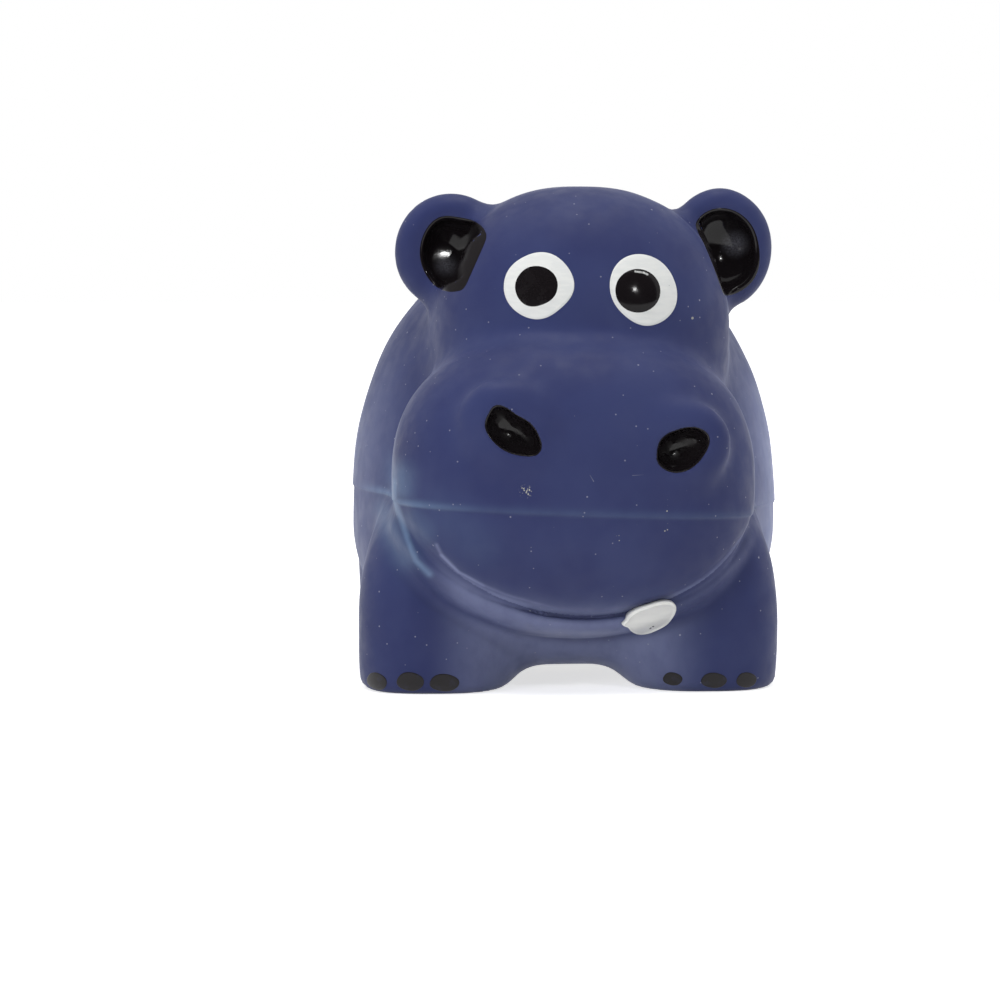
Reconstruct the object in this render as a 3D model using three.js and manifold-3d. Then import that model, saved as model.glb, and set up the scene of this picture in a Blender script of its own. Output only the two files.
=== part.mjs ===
// A squeaking latex dog toy: a chunky standing hippo, moulded hollow and painted by hand.
// Millimetres. X is to the right seen from the front, Y runs to the back, Z is up.
// The toy looks along -Y and stands on Z = 0, under the middle of its outline.

import * as THREE from 'three';
import { mergeVertices } from 'three/addons/utils/BufferGeometryUtils.js';
import Module from 'manifold-3d';

const wasm = await Module();
wasm.setup();

// Driving sizes of the skin. An egg has a centre, a half size to each side and a squareness.

const trunk = {
  x: -0.2, y: 8, z: 26.5,
  left: 37.8, right: 38.2, front: 38.5, back: 44.5, below: 25, above: 49.5,
  squareness: 2.3,
};
const chest = {
  x: -0.6, y: 1, z: 20,
  left: 31, right: 31, front: 36, back: 42, below: 18.4, above: 18.4,
  squareness: 4.5,
};
const bellyHeight = 2.5;

// All four legs are one egg shape, standing at these places.

const legZ = 9;
const legHalfWide = 13;
const legHalfLong = 13.4;
const legHalfTall = 23;
const legSquareness = 2.5;
const legPlaces = {
  frontLeft: { x: -23.8, y: -26.5 },
  frontRight: { x: 22.2, y: -25.5 },
  rearLeft: { x: -23.8, y: 30 },
  rearRight: { x: 23, y: 30 },
};

// The head is sculpted straight and set on the neck a little turned and tilted.

const neckY = 8;
const neckZ = 50;
const headYaw = THREE.MathUtils.degToRad(3);
const headRoll = THREE.MathUtils.degToRad(0.5);
const cranium = {
  x: 0.3, y: -17, z: 60,
  left: 25.3, right: 25.3, front: 22.5, back: 22.5, below: 24, above: 25,
  squareness: 2.25,
};
const muzzle = {
  x: -2.4, y: -33, z: 35,
  left: 30.4, right: 30.4, front: 22, back: 22, below: 23.7, above: 25,
  squareness: 2.5,
};
const jaw = {
  x: -3.1, y: -31, z: 27,
  left: 29.8, right: 29.8, front: 19.2, back: 19.2, below: 18.2, above: 11,
  squareness: 2.2,
};

// Ears are round pads with a dish pressed into the front. They stand turned outwards.

const earHalfThick = 3.2;
const earTurn = THREE.MathUtils.degToRad(8);
const earDishOut = 5.6;
const earDishDeep = 6.6;
const ears = {
  left: { side: -1, inset: 3, back: 2, up: 14, wide: 9.6, tall: 9.9 },
  right: { side: 1, inset: 0.7, back: 2, up: 15, wide: 9.2, tall: 10.3 },
};
const earDishes = {
  left: { across: 0.8, up: -0.3, wide: 6.2, tall: 7.1 },
  right: { across: 0.8, up: -0.4, wide: 6.6, tall: 8.4 },
};

// Nostrils are pits pressed into two low swellings, placed from the muzzle's middle.

const nostrilPitOut = 1.2;
const nostrilPitDeep = 4.2;
const nostrilSwellIn = 2.4;
const nostrilSwellMore = 3.2;
const nostrilSwellDeep = 3.3;
const nostrils = {
  left: { across: -8.9, up: 9.8, long: 5.5, short: 3.6, tilt: -42 },
  right: { across: 18.8, up: 6.8, long: 4.9, short: 3.3, tilt: 24 },
};

// The tail is a stub pressed to the rump, placed from the rump's end and the trunk's middle.

const tail = {
  topIn: 3, topUp: 17.5, topRadius: 2.7,
  tipAcross: 1.5, tipIn: 0.3, tipUp: 8.5, tipRadius: 3.4,
};

// Radii over which two forms flow into each other, sharpest where the mouth closes.

const chestBlend = 6;
const bellyBlend = 3;
const legBlend = 7;
const neckBlend = 6;
const jawBlend = 2;
const browBlend = 7;
const mouthBlend = 1.4;
const earBlend = 3;
const nostrilBlend = 3;
const soleBlend = 2;
const tailBlend = 3;

// Thicknesses.

const wall = 2.5;
const fillingClear = 0.8;
const enamelGap = 0.3;
const enamelThick = 0.4;
const toothGap = 0.7;
const toothThick = 0.8;
const liningGap = 0.45;
const liningInset = 0.5;

// Enamel outlines in the front view: half sizes and a tilt in degrees. Eyes are placed from the
// cranium's middle, pupils from their eye, the tooth from under the muzzle. Claws stand at a share
// of their leg's half width.

const eyeWhites = {
  left: { across: -6.6, up: 8.4, long: 5.95, short: 5.75, tilt: 0 },
  right: { across: 10.9, up: 7.6, long: 6.45, short: 5.85, tilt: -55 },
};
const pupils = {
  left: { across: -0.4, up: -0.25, long: 3.7, short: 3.5, tilt: 10 },
  right: { across: -1, up: -0.1, long: 3.85, short: 3.7, tilt: 0 },
};
const toothPlace = { across: 14.5, up: 2.1, long: 4.4, short: 3.2, tilt: 24 };
const dripShare = 0.22;
const dripAngle = THREE.MathUtils.degToRad(26);
const leftClaws = {
  outer: { acrossShare: -0.746, up: 2, long: 1.7, short: 1.6 },
  middle: { acrossShare: -0.315, up: 2.3, long: 2.3, short: 1.7 },
  inner: { acrossShare: 0.123, up: 2.1, long: 2.5, short: 1.6 },
};
const rightClaws = {
  inner: { acrossShare: -0.462, up: 2.3, long: 1.6, short: 1.2 },
  middle: { acrossShare: 0.069, up: 2.1, long: 2.2, short: 1.4 },
  outer: { acrossShare: 0.5, up: 2, long: 1.8, short: 1.4 },
};

// Squeaker, standing in a hole through the belly. Its groove holds the lip of the hole.

const squeakerX = -0.3;
const squeakerY = 4;
const caseRadius = 8;
const caseWall = 1.1;
const flangeSink = 0.4;
const airOverTube = 0.7;
const flangeRadius = 10;
const flangeThick = 1;
const ribRadius = 9.4;
const ribThick = 1.2;
const fitGap = 0.3;
const lipThick = 2.3;
const lipRadius = 13;
const lipSink = 0.75;
const socketHeight = 5;
const tubeRadius = 2.9;
const tubeBore = 2;
const tubeHeight = 8;
const soundHole = 1.9;
const capThick = 1.2;
const capPlugHeight = 2;
const capPlugWall = 1;
const ventHoles = 6;
const ventRadius = 0.8;
const reedThick = 0.35;
const reedWide = 2.6;
const reedLong = 5.4;
const fillingToSqueaker = 1.5;

// Fineness of the surfaces.

const bodyCell = 4.8;
const faceCell = 3.6;
const earCell = 2.6;
const cavityCell = 7.2;
const netMargin = 3;
const earBand = 6.5;
const footBand = 11.5;
const turningSteps = 24;
const holeSteps = 12;
const hollowSteps = 20;
const filmSectors = 18;
const filmRings = 2;
const toothRings = 3;
const clawSectors = 10;
const cutOver = 1;
const rootSteps = 60;
const netSteps = 12;
const tiny = 1e-4;
const slopeStep = 0.01;
const flatWithin = 0.01;

// Colours and finishes.

const latexLook = { color: 0x3f4675, roughness: 0.62, metalness: 0 };
const whiteLook = { color: 0xe6e4de, roughness: 0.35, metalness: 0 };
const blackLook = { color: 0x141214, roughness: 0.12, metalness: 0 };
const clawLook = { color: 0x2b292d, roughness: 0.5, metalness: 0 };
const plasticLook = { color: 0xe9e7e0, roughness: 0.4, metalness: 0 };
const reedLook = { color: 0xc9a24a, roughness: 0.3, metalness: 1 };
const fibreLook = { color: 0xf1f0ec, roughness: 0.95, metalness: 0 };

// Smooth union of two distances over a radius.

function softMin(a, b, radius) {
  const h = Math.max(radius - Math.abs(a - b), 0) / radius;
  return Math.min(a, b) - h * h * radius / 4;
}

function softMax(a, b, radius) {
  return -softMin(-a, -b, radius);
}

// Distance to an egg: a superellipsoid with its own half size to each side.

function eggDistance(p, egg) {
  const rx = p.x < egg.x ? egg.left : egg.right;
  const ry = p.y < egg.y ? egg.front : egg.back;
  const rz = p.z < egg.z ? egg.below : egg.above;
  const ax = Math.abs((p.x - egg.x) / rx) + Number.EPSILON;
  const ay = Math.abs((p.y - egg.y) / ry) + Number.EPSILON;
  const az = Math.abs((p.z - egg.z) / rz) + Number.EPSILON;
  const n = egg.squareness;
  const sum = ax ** n + ay ** n + az ** n;
  const scale = sum ** (1 / n);
  const slope = Math.hypot(ax ** (n - 1) / rx, ay ** (n - 1) / ry, az ** (n - 1) / rz);
  return (scale - 1) / (slope * sum ** (1 / n - 1));
}

// Distance to an ellipsoid that stands in a frame of its own: along, across and out.

function hollowDistance(p, hollow) {
  const local = p.clone().sub(hollow.centre);
  const a = local.dot(hollow.along) / hollow.long;
  const b = local.dot(hollow.across) / hollow.short;
  const c = local.dot(hollow.out) / hollow.deep;
  const scale = Math.hypot(a, b, c);
  const slope = Math.hypot(a / hollow.long, b / hollow.short, c / hollow.deep);
  return scale * (scale - 1) / (slope + Number.EPSILON);
}

// Distance to a round rod whose radius runs from one end to the other.

function rodDistance(p, from, to, fromRadius, toRadius) {
  const line = to.clone().sub(from);
  const along = THREE.MathUtils.clamp(p.clone().sub(from).dot(line) / line.lengthSq(), 0, 1);
  const foot = from.clone().addScaledVector(line, along);
  return p.distanceTo(foot) - THREE.MathUtils.lerp(fromRadius, toRadius, along);
}

// The head's own frame, turned about the neck.

const headTurn = new THREE.Matrix4().makeTranslation(0, neckY, neckZ)
  .multiply(new THREE.Matrix4().makeRotationZ(headYaw))
  .multiply(new THREE.Matrix4().makeRotationY(headRoll))
  .multiply(new THREE.Matrix4().makeTranslation(0, -neckY, -neckZ));
const headReturn = headTurn.clone().invert();

const legEggs = Object.values(legPlaces).map((place) => ({
  x: place.x, y: place.y, z: legZ,
  left: legHalfWide, right: legHalfWide,
  front: legHalfLong, back: legHalfLong,
  below: legHalfTall, above: legHalfTall,
  squareness: legSquareness,
}));

// An ear's frame within the head: across it, up it, and out of its face.

function earFrame(ear) {
  const turn = earTurn * ear.side;
  const halfHead = ear.side < 0 ? cranium.left : cranium.right;
  return {
    centre: new THREE.Vector3(
      cranium.x + ear.side * (halfHead - ear.inset),
      cranium.y + ear.back,
      cranium.z + ear.up,
    ),
    across: new THREE.Vector3(Math.cos(turn), Math.sin(turn), 0),
    out: new THREE.Vector3(Math.sin(turn), -Math.cos(turn), 0),
    up: new THREE.Vector3(0, 0, 1),
  };
}

function earHollow(ear, dish) {
  const frame = earFrame(ear);
  return {
    centre: frame.centre.clone()
      .addScaledVector(frame.across, dish.across)
      .addScaledVector(frame.up, dish.up)
      .addScaledVector(frame.out, earDishOut),
    along: frame.across,
    across: frame.up,
    out: frame.out,
    long: dish.wide,
    short: dish.tall,
    deep: earDishDeep,
  };
}

function earDistance(q, ear) {
  const frame = earFrame(ear);
  const local = q.clone().sub(frame.centre);
  const reach = Math.hypot(local.dot(frame.across), local.dot(frame.up) * ear.wide / ear.tall);
  const beyond = Math.max(reach - ear.wide + earHalfThick, 0);
  return Math.hypot(beyond, local.dot(frame.out)) - earHalfThick;
}

const earHollows = {
  left: earHollow(ears.left, earDishes.left),
  right: earHollow(ears.right, earDishes.right),
};
const rumpEnd = trunk.y + trunk.back;
const tailTop = new THREE.Vector3(0, rumpEnd - tail.topIn, trunk.z + tail.topUp);
const tailTip = new THREE.Vector3(tail.tipAcross, rumpEnd - tail.tipIn, trunk.z + tail.tipUp);

// The head without ears or nostrils.

function upperHead(q) {
  return softMin(eggDistance(q, cranium), eggDistance(q, muzzle), browBlend);
}

// A nostril's pit and the swelling round it, both set on the front of the muzzle.

const frontLine = muzzle.y - muzzle.front - netMargin;

function nostrilHollow(nostril, out, grow, deep) {
  const tilt = THREE.MathUtils.degToRad(nostril.tilt);
  const start = new THREE.Vector3(muzzle.x + nostril.across, frontLine, muzzle.z + nostril.up);
  const centre = meetForm((p) => upperHead(p.clone().applyMatrix4(headReturn)), start, 0);
  centre.y -= out;
  return {
    centre,
    along: new THREE.Vector3(Math.cos(tilt), 0, Math.sin(tilt)),
    across: new THREE.Vector3(-Math.sin(tilt), 0, Math.cos(tilt)),
    out: new THREE.Vector3(0, -1, 0),
    long: nostril.long + grow,
    short: nostril.short + grow,
    deep,
  };
}

// The point straight behind a start in front of the toy where a form has a given value.

function meetForm(form, start, level) {
  const p = start.clone();
  for (let n = 0; n < rootSteps; n += 1) {
    p.y += form(p) - level;
  }
  return p;
}

const nostrilPits = {
  left: nostrilHollow(nostrils.left, nostrilPitOut, 0, nostrilPitDeep),
  right: nostrilHollow(nostrils.right, nostrilPitOut, 0, nostrilPitDeep),
};
const nostrilSwells = {
  left: nostrilHollow(nostrils.left, -nostrilSwellIn, nostrilSwellMore, nostrilSwellDeep),
  right: nostrilHollow(nostrils.right, -nostrilSwellIn, nostrilSwellMore, nostrilSwellDeep),
};

// The toy's outer form before anything is pressed into it.

function plainForm(p, withEars) {
  const q = p.clone().applyMatrix4(headReturn);
  let d = softMin(eggDistance(p, trunk), eggDistance(p, chest), chestBlend);
  d = softMax(d, bellyHeight - p.z, bellyBlend);
  for (const leg of legEggs) {
    d = softMin(d, eggDistance(p, leg), legBlend);
  }
  let upper = upperHead(q);
  for (const side of ['left', 'right']) {
    upper = softMin(upper, hollowDistance(p, nostrilSwells[side]), nostrilBlend);
  }
  d = softMin(d, eggDistance(q, cranium), neckBlend);
  d = softMin(d, eggDistance(q, jaw), jawBlend);
  d = softMin(d, upper, mouthBlend);
  if (withEars) {
    d = softMin(d, earDistance(q, ears.left), earBlend);
    d = softMin(d, earDistance(q, ears.right), earBlend);
    d = softMin(d, rodDistance(p, tailTop, tailTip, tail.topRadius, tail.tipRadius), tailBlend);
  }
  return softMax(d, -p.z, soleBlend);
}

function outerForm(p) {
  return plainForm(p, true);
}

function cavityForm(p) {
  return plainForm(p, false) + wall;
}

// Slope of a form at a point, by central differences.

function slopeOf(form, p) {
  const slope = new THREE.Vector3();
  for (const axis of ['x', 'y', 'z']) {
    const ahead = p.clone();
    const behind = p.clone();
    ahead[axis] += slopeStep;
    behind[axis] -= slopeStep;
    slope[axis] = (form(ahead) - form(behind)) / (2 * slopeStep);
  }
  return slope;
}

// Grid lines from the first value on, with a cell size that holds up to each band's end.

function gridLines(from, bands) {
  const lines = [from];
  for (const [end, cell] of bands) {
    const start = lines[lines.length - 1];
    const count = Math.max(1, Math.round((end - start) / cell));
    for (let i = 1; i <= count; i += 1) {
      lines.push(start + (end - start) * i / count);
    }
  }
  return lines;
}

// An edge of a grid cell by its direction and its offset on the other two axes, from 0 to 11.

function edgeNumber(axis, offset) {
  const [low, high] = [0, 1, 2].filter((other) => other !== axis);
  return axis * 4 + offset[low] + 2 * offset[high];
}

// The twelve edges of a cell with the corners that they join.

const cellEdges = [];
for (let axis = 0; axis < 3; axis += 1) {
  const [low, high] = [0, 1, 2].filter((other) => other !== axis);
  for (let n = 0; n < 4; n += 1) {
    const near = [0, 0, 0];
    near[low] = n & 1;
    near[high] = n >> 1;
    const far = [...near];
    far[axis] = 1;
    cellEdges[edgeNumber(axis, near)] = { axis, near, far };
  }
}

// The six faces of a cell: four corners in turn, and the edge that follows each of them.

const cellFaces = [];
for (let axis = 0; axis < 3; axis += 1) {
  const u = (axis + 1) % 3;
  const v = (axis + 2) % 3;
  for (const side of [0, 1]) {
    const corners = [[0, 0], [1, 0], [1, 1], [0, 1]].map(([atU, atV]) => {
      const corner = [0, 0, 0];
      corner[axis] = side;
      corner[u] = atU;
      corner[v] = atV;
      return corner;
    });
    const edges = [
      edgeNumber(u, corners[0]),
      edgeNumber(v, corners[1]),
      edgeNumber(u, corners[3]),
      edgeNumber(v, corners[0]),
    ];
    cellFaces.push({ corners, edges });
  }
}

// Closed mesh of a form's zero surface: one point for each sheet of the surface in a grid cell,
// drawn onto the surface, and one quad round each grid edge that the surface crosses.

function netMesh(form, xs, ys, zs) {
  const nx = xs.length;
  const ny = ys.length;
  const nz = zs.length;
  const nodeAt = (i, j, k) => (k * ny + j) * nx + i;
  const values = new Float64Array(nx * ny * nz);
  const p = new THREE.Vector3();
  for (let k = 0; k < nz; k += 1) {
    for (let j = 0; j < ny; j += 1) {
      for (let i = 0; i < nx; i += 1) {
        values[nodeAt(i, j, k)] = form(p.set(xs[i], ys[j], zs[k]));
      }
    }
  }
  const points = [];
  const pointOfEdge = new Map();
  for (let k = 0; k + 1 < nz; k += 1) {
    for (let j = 0; j + 1 < ny; j += 1) {
      for (let i = 0; i + 1 < nx; i += 1) {
        addCellPoints(i, j, k);
      }
    }
  }

  function addCellPoints(i, j, k) {
    const valueAt = (corner) => values[nodeAt(i + corner[0], j + corner[1], k + corner[2])];
    const crossed = cellEdges.map(({ near, far }) => (valueAt(near) < 0) !== (valueAt(far) < 0));
    const sheet = cellEdges.map((edge, n) => n);
    const join = (a, b) => {
      const from = sheet[a];
      const to = sheet[b];
      sheet.forEach((value, n) => {
        sheet[n] = value === from ? to : value;
      });
    };
    for (const { corners, edges } of cellFaces) {
      const cut = edges.filter((edge) => crossed[edge]);
      if (cut.length === 2) {
        join(cut[0], cut[1]);
      }
      if (cut.length === 4) {
        corners.forEach((corner, n) => {
          if (valueAt(corner) < 0) {
            join(edges[(n + 3) % 4], edges[n]);
          }
        });
      }
    }
    const cell = nodeAt(i, j, k);
    for (const name of new Set(sheet)) {
      const members = sheet.flatMap((value, n) => (value === name && crossed[n] ? [n] : []));
      if (members.length === 0) {
        continue;
      }
      const middle = new THREE.Vector3();
      for (const n of members) {
        const { near, far } = cellEdges[n];
        const share = valueAt(near) / (valueAt(near) - valueAt(far));
        middle.x += THREE.MathUtils.lerp(xs[i + near[0]], xs[i + far[0]], share);
        middle.y += THREE.MathUtils.lerp(ys[j + near[1]], ys[j + far[1]], share);
        middle.z += THREE.MathUtils.lerp(zs[k + near[2]], zs[k + far[2]], share);
        pointOfEdge.set(cell * 12 + n, points.length);
      }
      points.push(drawOnto(form, middle.divideScalar(members.length), [
        [xs[i], xs[i + 1]],
        [ys[j], ys[j + 1]],
        [zs[k], zs[k + 1]],
      ]));
    }
  }

  const faces = [];
  const addQuad = (axis, i, j, k, round, flip) => {
    const quad = round.map(([di, dj, dk]) => {
      const cell = nodeAt(i + di, j + dj, k + dk);
      return pointOfEdge.get(cell * 12 + edgeNumber(axis, [-di, -dj, -dk]));
    });
    if (flip) {
      quad.reverse();
    }
    const cutFirst = points[quad[0]].distanceTo(points[quad[2]]);
    const cutSecond = points[quad[1]].distanceTo(points[quad[3]]);
    if (cutFirst < cutSecond) {
      faces.push(quad[0], quad[1], quad[2], quad[0], quad[2], quad[3]);
    } else {
      faces.push(quad[0], quad[1], quad[3], quad[1], quad[2], quad[3]);
    }
  };
  const roundX = [[0, -1, -1], [0, 0, -1], [0, 0, 0], [0, -1, 0]];
  const roundY = [[-1, 0, -1], [-1, 0, 0], [0, 0, 0], [0, 0, -1]];
  const roundZ = [[-1, -1, 0], [0, -1, 0], [0, 0, 0], [-1, 0, 0]];
  for (let k = 0; k + 1 < nz; k += 1) {
    for (let j = 0; j + 1 < ny; j += 1) {
      for (let i = 0; i + 1 < nx; i += 1) {
        const here = values[nodeAt(i, j, k)] < 0;
        if (j > 0 && k > 0 && here !== values[nodeAt(i + 1, j, k)] < 0) {
          addQuad(0, i, j, k, roundX, !here);
        }
        if (i > 0 && k > 0 && here !== values[nodeAt(i, j + 1, k)] < 0) {
          addQuad(1, i, j, k, roundY, !here);
        }
        if (i > 0 && j > 0 && here !== values[nodeAt(i, j, k + 1)] < 0) {
          addQuad(2, i, j, k, roundZ, !here);
        }
      }
    }
  }
  return { points, faces };
}

// Moves a point along the slope until the form is zero there, without leaving its cell.

function drawOnto(form, start, bounds) {
  const p = start.clone();
  for (let n = 0; n < netSteps; n += 1) {
    const slope = slopeOf(form, p);
    p.addScaledVector(slope, -form(p) / Math.max(slope.lengthSq(), tiny));
    p.x = THREE.MathUtils.clamp(p.x, ...bounds[0]);
    p.y = THREE.MathUtils.clamp(p.y, ...bounds[1]);
    p.z = THREE.MathUtils.clamp(p.z, ...bounds[2]);
  }
  if (Math.abs(p.z) < flatWithin) {
    p.z = 0;
  }
  return p;
}

function meshGeometry(mesh) {
  const geometry = new THREE.BufferGeometry();
  const flat = mesh.points.flatMap((p) => [p.x, p.y, p.z]);
  geometry.setAttribute('position', new THREE.Float32BufferAttribute(flat, 3));
  geometry.setIndex(mesh.faces);
  return geometry;
}

// Joins and cuts.

function solidOf(geometry) {
  const bare = geometry.clone();
  bare.deleteAttribute('normal');
  bare.deleteAttribute('uv');
  const merged = mergeVertices(bare, tiny);
  return new wasm.Manifold(new wasm.Mesh({
    numProp: 3,
    vertProperties: merged.attributes.position.array,
    triVerts: new Uint32Array(merged.index.array),
  }));
}

function geometryOf(solid) {
  const mesh = solid.getMesh();
  const geometry = new THREE.BufferGeometry();
  geometry.setAttribute('position', new THREE.BufferAttribute(mesh.vertProperties, 3));
  geometry.setIndex(new THREE.BufferAttribute(mesh.triVerts, 1));
  return geometry;
}

// A turned piece about an upright axis, from radius and height pairs.

function turned(profile, x, y, steps = turningSteps) {
  const outline = profile.map(([radius, height]) => new THREE.Vector2(radius, height));
  const geometry = new THREE.LatheGeometry(outline, steps);
  geometry.rotateX(Math.PI / 2);
  geometry.translate(x, y, 0);
  return geometry;
}

// A ring of square section, closed on itself. An inner radius of zero gives a disc.

function ring(inner, outer, bottom, top, x = squeakerX, y = squeakerY, steps = turningSteps) {
  const profile = [[inner, bottom], [outer, bottom], [outer, top], [inner, top]];
  if (inner > 0) {
    profile.push([inner, bottom]);
  }
  return turned(profile, x, y, steps);
}

// A film between two surfaces: place(level, ring share, angle) gives its points,
// level 0 next to the latex and level 1 on the air side.

function filmGeometry(place, sectors, rings) {
  const points = [];
  for (const level of [0, 1]) {
    points.push(place(level, 0, 0));
    for (let n = 1; n <= rings; n += 1) {
      for (let s = 0; s < sectors; s += 1) {
        points.push(place(level, n / rings, 2 * Math.PI * s / sectors));
      }
    }
  }
  const perLevel = 1 + rings * sectors;
  const at = (level, n, s) => level * perLevel + 1 + (n - 1) * sectors + s % sectors;
  const faces = [];
  for (let s = 0; s < sectors; s += 1) {
    faces.push(0, at(0, 1, s + 1), at(0, 1, s));
    faces.push(perLevel, at(1, 1, s), at(1, 1, s + 1));
    for (let n = 1; n < rings; n += 1) {
      faces.push(at(0, n, s), at(0, n, s + 1), at(0, n + 1, s));
      faces.push(at(0, n + 1, s), at(0, n, s + 1), at(0, n + 1, s + 1));
      faces.push(at(1, n, s), at(1, n + 1, s), at(1, n, s + 1));
      faces.push(at(1, n + 1, s), at(1, n + 1, s + 1), at(1, n, s + 1));
    }
    faces.push(at(0, rings, s), at(0, rings, s + 1), at(1, rings, s));
    faces.push(at(1, rings, s), at(0, rings, s + 1), at(1, rings, s + 1));
  }
  return meshGeometry({ points, faces: facedOut(points, faces) });
}

// Turns every face round where the closed mesh has its inside out.

function facedOut(points, faces) {
  let volume = 0;
  for (let n = 0; n < faces.length; n += 3) {
    const [a, b, c] = [points[faces[n]], points[faces[n + 1]], points[faces[n + 2]]];
    volume += a.dot(b.clone().cross(c));
  }
  if (volume > 0) {
    return faces;
  }
  const turnedFaces = [];
  for (let n = 0; n < faces.length; n += 3) {
    turnedFaces.push(faces[n], faces[n + 2], faces[n + 1]);
  }
  return turnedFaces;
}

// A painted film inside a tilted oval, drawn from the front onto the latex.

function paintedFilm(outline, gap, thick, sectors, rings, stretch = () => 1) {
  const tilt = THREE.MathUtils.degToRad(outline.tilt);
  return filmGeometry((level, share, angle) => {
    const reach = share * stretch(angle);
    const along = outline.long * reach * Math.cos(angle);
    const across = outline.short * reach * Math.sin(angle);
    const x = outline.x + along * Math.cos(tilt) - across * Math.sin(tilt);
    const z = outline.z + along * Math.sin(tilt) + across * Math.cos(tilt);
    return meetForm(outerForm, new THREE.Vector3(x, frontLine, z), gap + level * thick);
  }, sectors, rings);
}

// A film that lines a hollow up to just inside its rim, from the deepest point outwards.

function liningFilm(hollow, toWorld) {
  const pointOn = (inset, slant, angle) => hollow.centre.clone()
    .addScaledVector(hollow.along, (hollow.long - inset) * Math.sin(slant) * Math.cos(angle))
    .addScaledVector(hollow.across, (hollow.short - inset) * Math.sin(slant) * Math.sin(angle))
    .addScaledVector(hollow.out, -(hollow.deep - inset) * Math.cos(slant))
    .applyMatrix4(toWorld);
  const rimSlant = (angle) => {
    let low = 0;
    let high = Math.PI / 2;
    for (let n = 0; n < rootSteps; n += 1) {
      const middle = (low + high) / 2;
      const depth = -outerForm(pointOn(liningGap, middle, angle));
      if (depth > liningInset) {
        low = middle;
      } else {
        high = middle;
      }
    }
    return low;
  };
  return filmGeometry((level, share, angle) => (
    pointOn(liningGap + level * enamelThick, share * rimSlant(angle), angle)
  ), filmSectors, filmRings + 1);
}

// Skin: the outer form less the cavity, with the thickened lip round the squeaker's hole.

const backLine = tailTip.y + tail.tipRadius + netMargin;
const outerLines = {
  x: gridLines(-trunk.left - netMargin, [[trunk.right + netMargin, faceCell]]),
  y: gridLines(frontLine, [
    [cranium.y - earBand, faceCell],
    [cranium.y + earBand, earCell],
    [backLine, bodyCell],
  ]),
  z: gridLines(-netMargin, [
    [footBand, faceCell],
    [cranium.z, bodyCell],
    [cranium.z + cranium.above + netMargin, earCell],
  ]),
};
const cavityLines = {
  x: gridLines(-trunk.left - netMargin, [[trunk.right + netMargin, cavityCell]]),
  y: gridLines(frontLine, [[backLine, cavityCell]]),
  z: gridLines(-netMargin, [[cranium.z + cranium.above + netMargin, cavityCell]]),
};
const caseBottom = bellyHeight + flangeSink;
const pocketTop = caseBottom + flangeThick + fitGap;
const lipTop = pocketTop + lipThick;
const holeRadius = caseRadius + fitGap;
const pocketRadius = flangeRadius + fitGap;
const cavityNet = netMesh(cavityForm, cavityLines.x, cavityLines.y, cavityLines.z);

function skinGeometry() {
  const outer = netMesh(outerForm, outerLines.x, outerLines.y, outerLines.z);
  const lip = ring(0, lipRadius, pocketTop - lipSink, lipTop);
  const pocket = ring(0, pocketRadius, -cutOver, pocketTop);
  const hole = ring(0, holeRadius, -cutOver, lipTop + cutOver);
  let skin = solidOf(meshGeometry(outer))
    .subtract(withoutHollows(solidOf(meshGeometry(cavityNet)), wall))
    .add(solidOf(lip))
    .subtract(solidOf(pocket))
    .subtract(solidOf(hole));
  skin = withoutHollows(skin, 0);
  return geometryOf(skin);
}

// A solid less the ear dishes and nostril pits, each grown by a thickness.

function withoutHollows(solid, grow) {
  let left = solid;
  for (const side of ['left', 'right']) {
    left = left.subtract(solidOf(hollowGeometry(earHollows[side], headTurn, grow)));
    left = left.subtract(solidOf(hollowGeometry(nostrilPits[side], new THREE.Matrix4(), grow)));
  }
  return left;
}

function hollowGeometry(hollow, toWorld, grow) {
  const geometry = new THREE.SphereGeometry(1, hollowSteps, hollowSteps / 2);
  geometry.rotateX(Math.PI / 2);
  const frame = new THREE.Matrix4().makeBasis(hollow.along, hollow.across, hollow.out);
  frame.scale(new THREE.Vector3(hollow.long + grow, hollow.short + grow, hollow.deep + grow));
  frame.setPosition(hollow.centre);
  geometry.applyMatrix4(frame.premultiply(toWorld));
  return geometry;
}

// Filling: the cavity's own surface drawn in by its clearance, less the room for the squeaker.

function fillingGeometry() {
  const points = cavityNet.points.map((p) => {
    const slope = slopeOf(cavityForm, p).normalize();
    return p.clone().addScaledVector(slope, -fillingClear);
  });
  const room = turned([
    [0, -cutOver],
    [lipRadius + fillingToSqueaker, -cutOver],
    [lipRadius + fillingToSqueaker, lipTop + fillingToSqueaker],
    [ribRadius + fillingToSqueaker, lipTop + ribThick + fillingToSqueaker],
    [ribRadius + fillingToSqueaker, caseTop + capThick + fillingToSqueaker],
    [0, caseTop + capThick + fillingToSqueaker],
  ], squeakerX, squeakerY);
  const loose = withoutHollows(solidOf(meshGeometry({ points, faces: cavityNet.faces })), wall + fillingClear);
  return geometryOf(loose.subtract(solidOf(room)));
}

// Squeaker case: a cup with a flange under the lip, a rib over it, and a socket for the tube.

const caseFloorTop = caseBottom + caseWall;
const tubeBottom = caseFloorTop + fitGap;
const caseTop = tubeBottom + tubeHeight + airOverTube;
const socketRadius = tubeRadius + fitGap;

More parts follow.
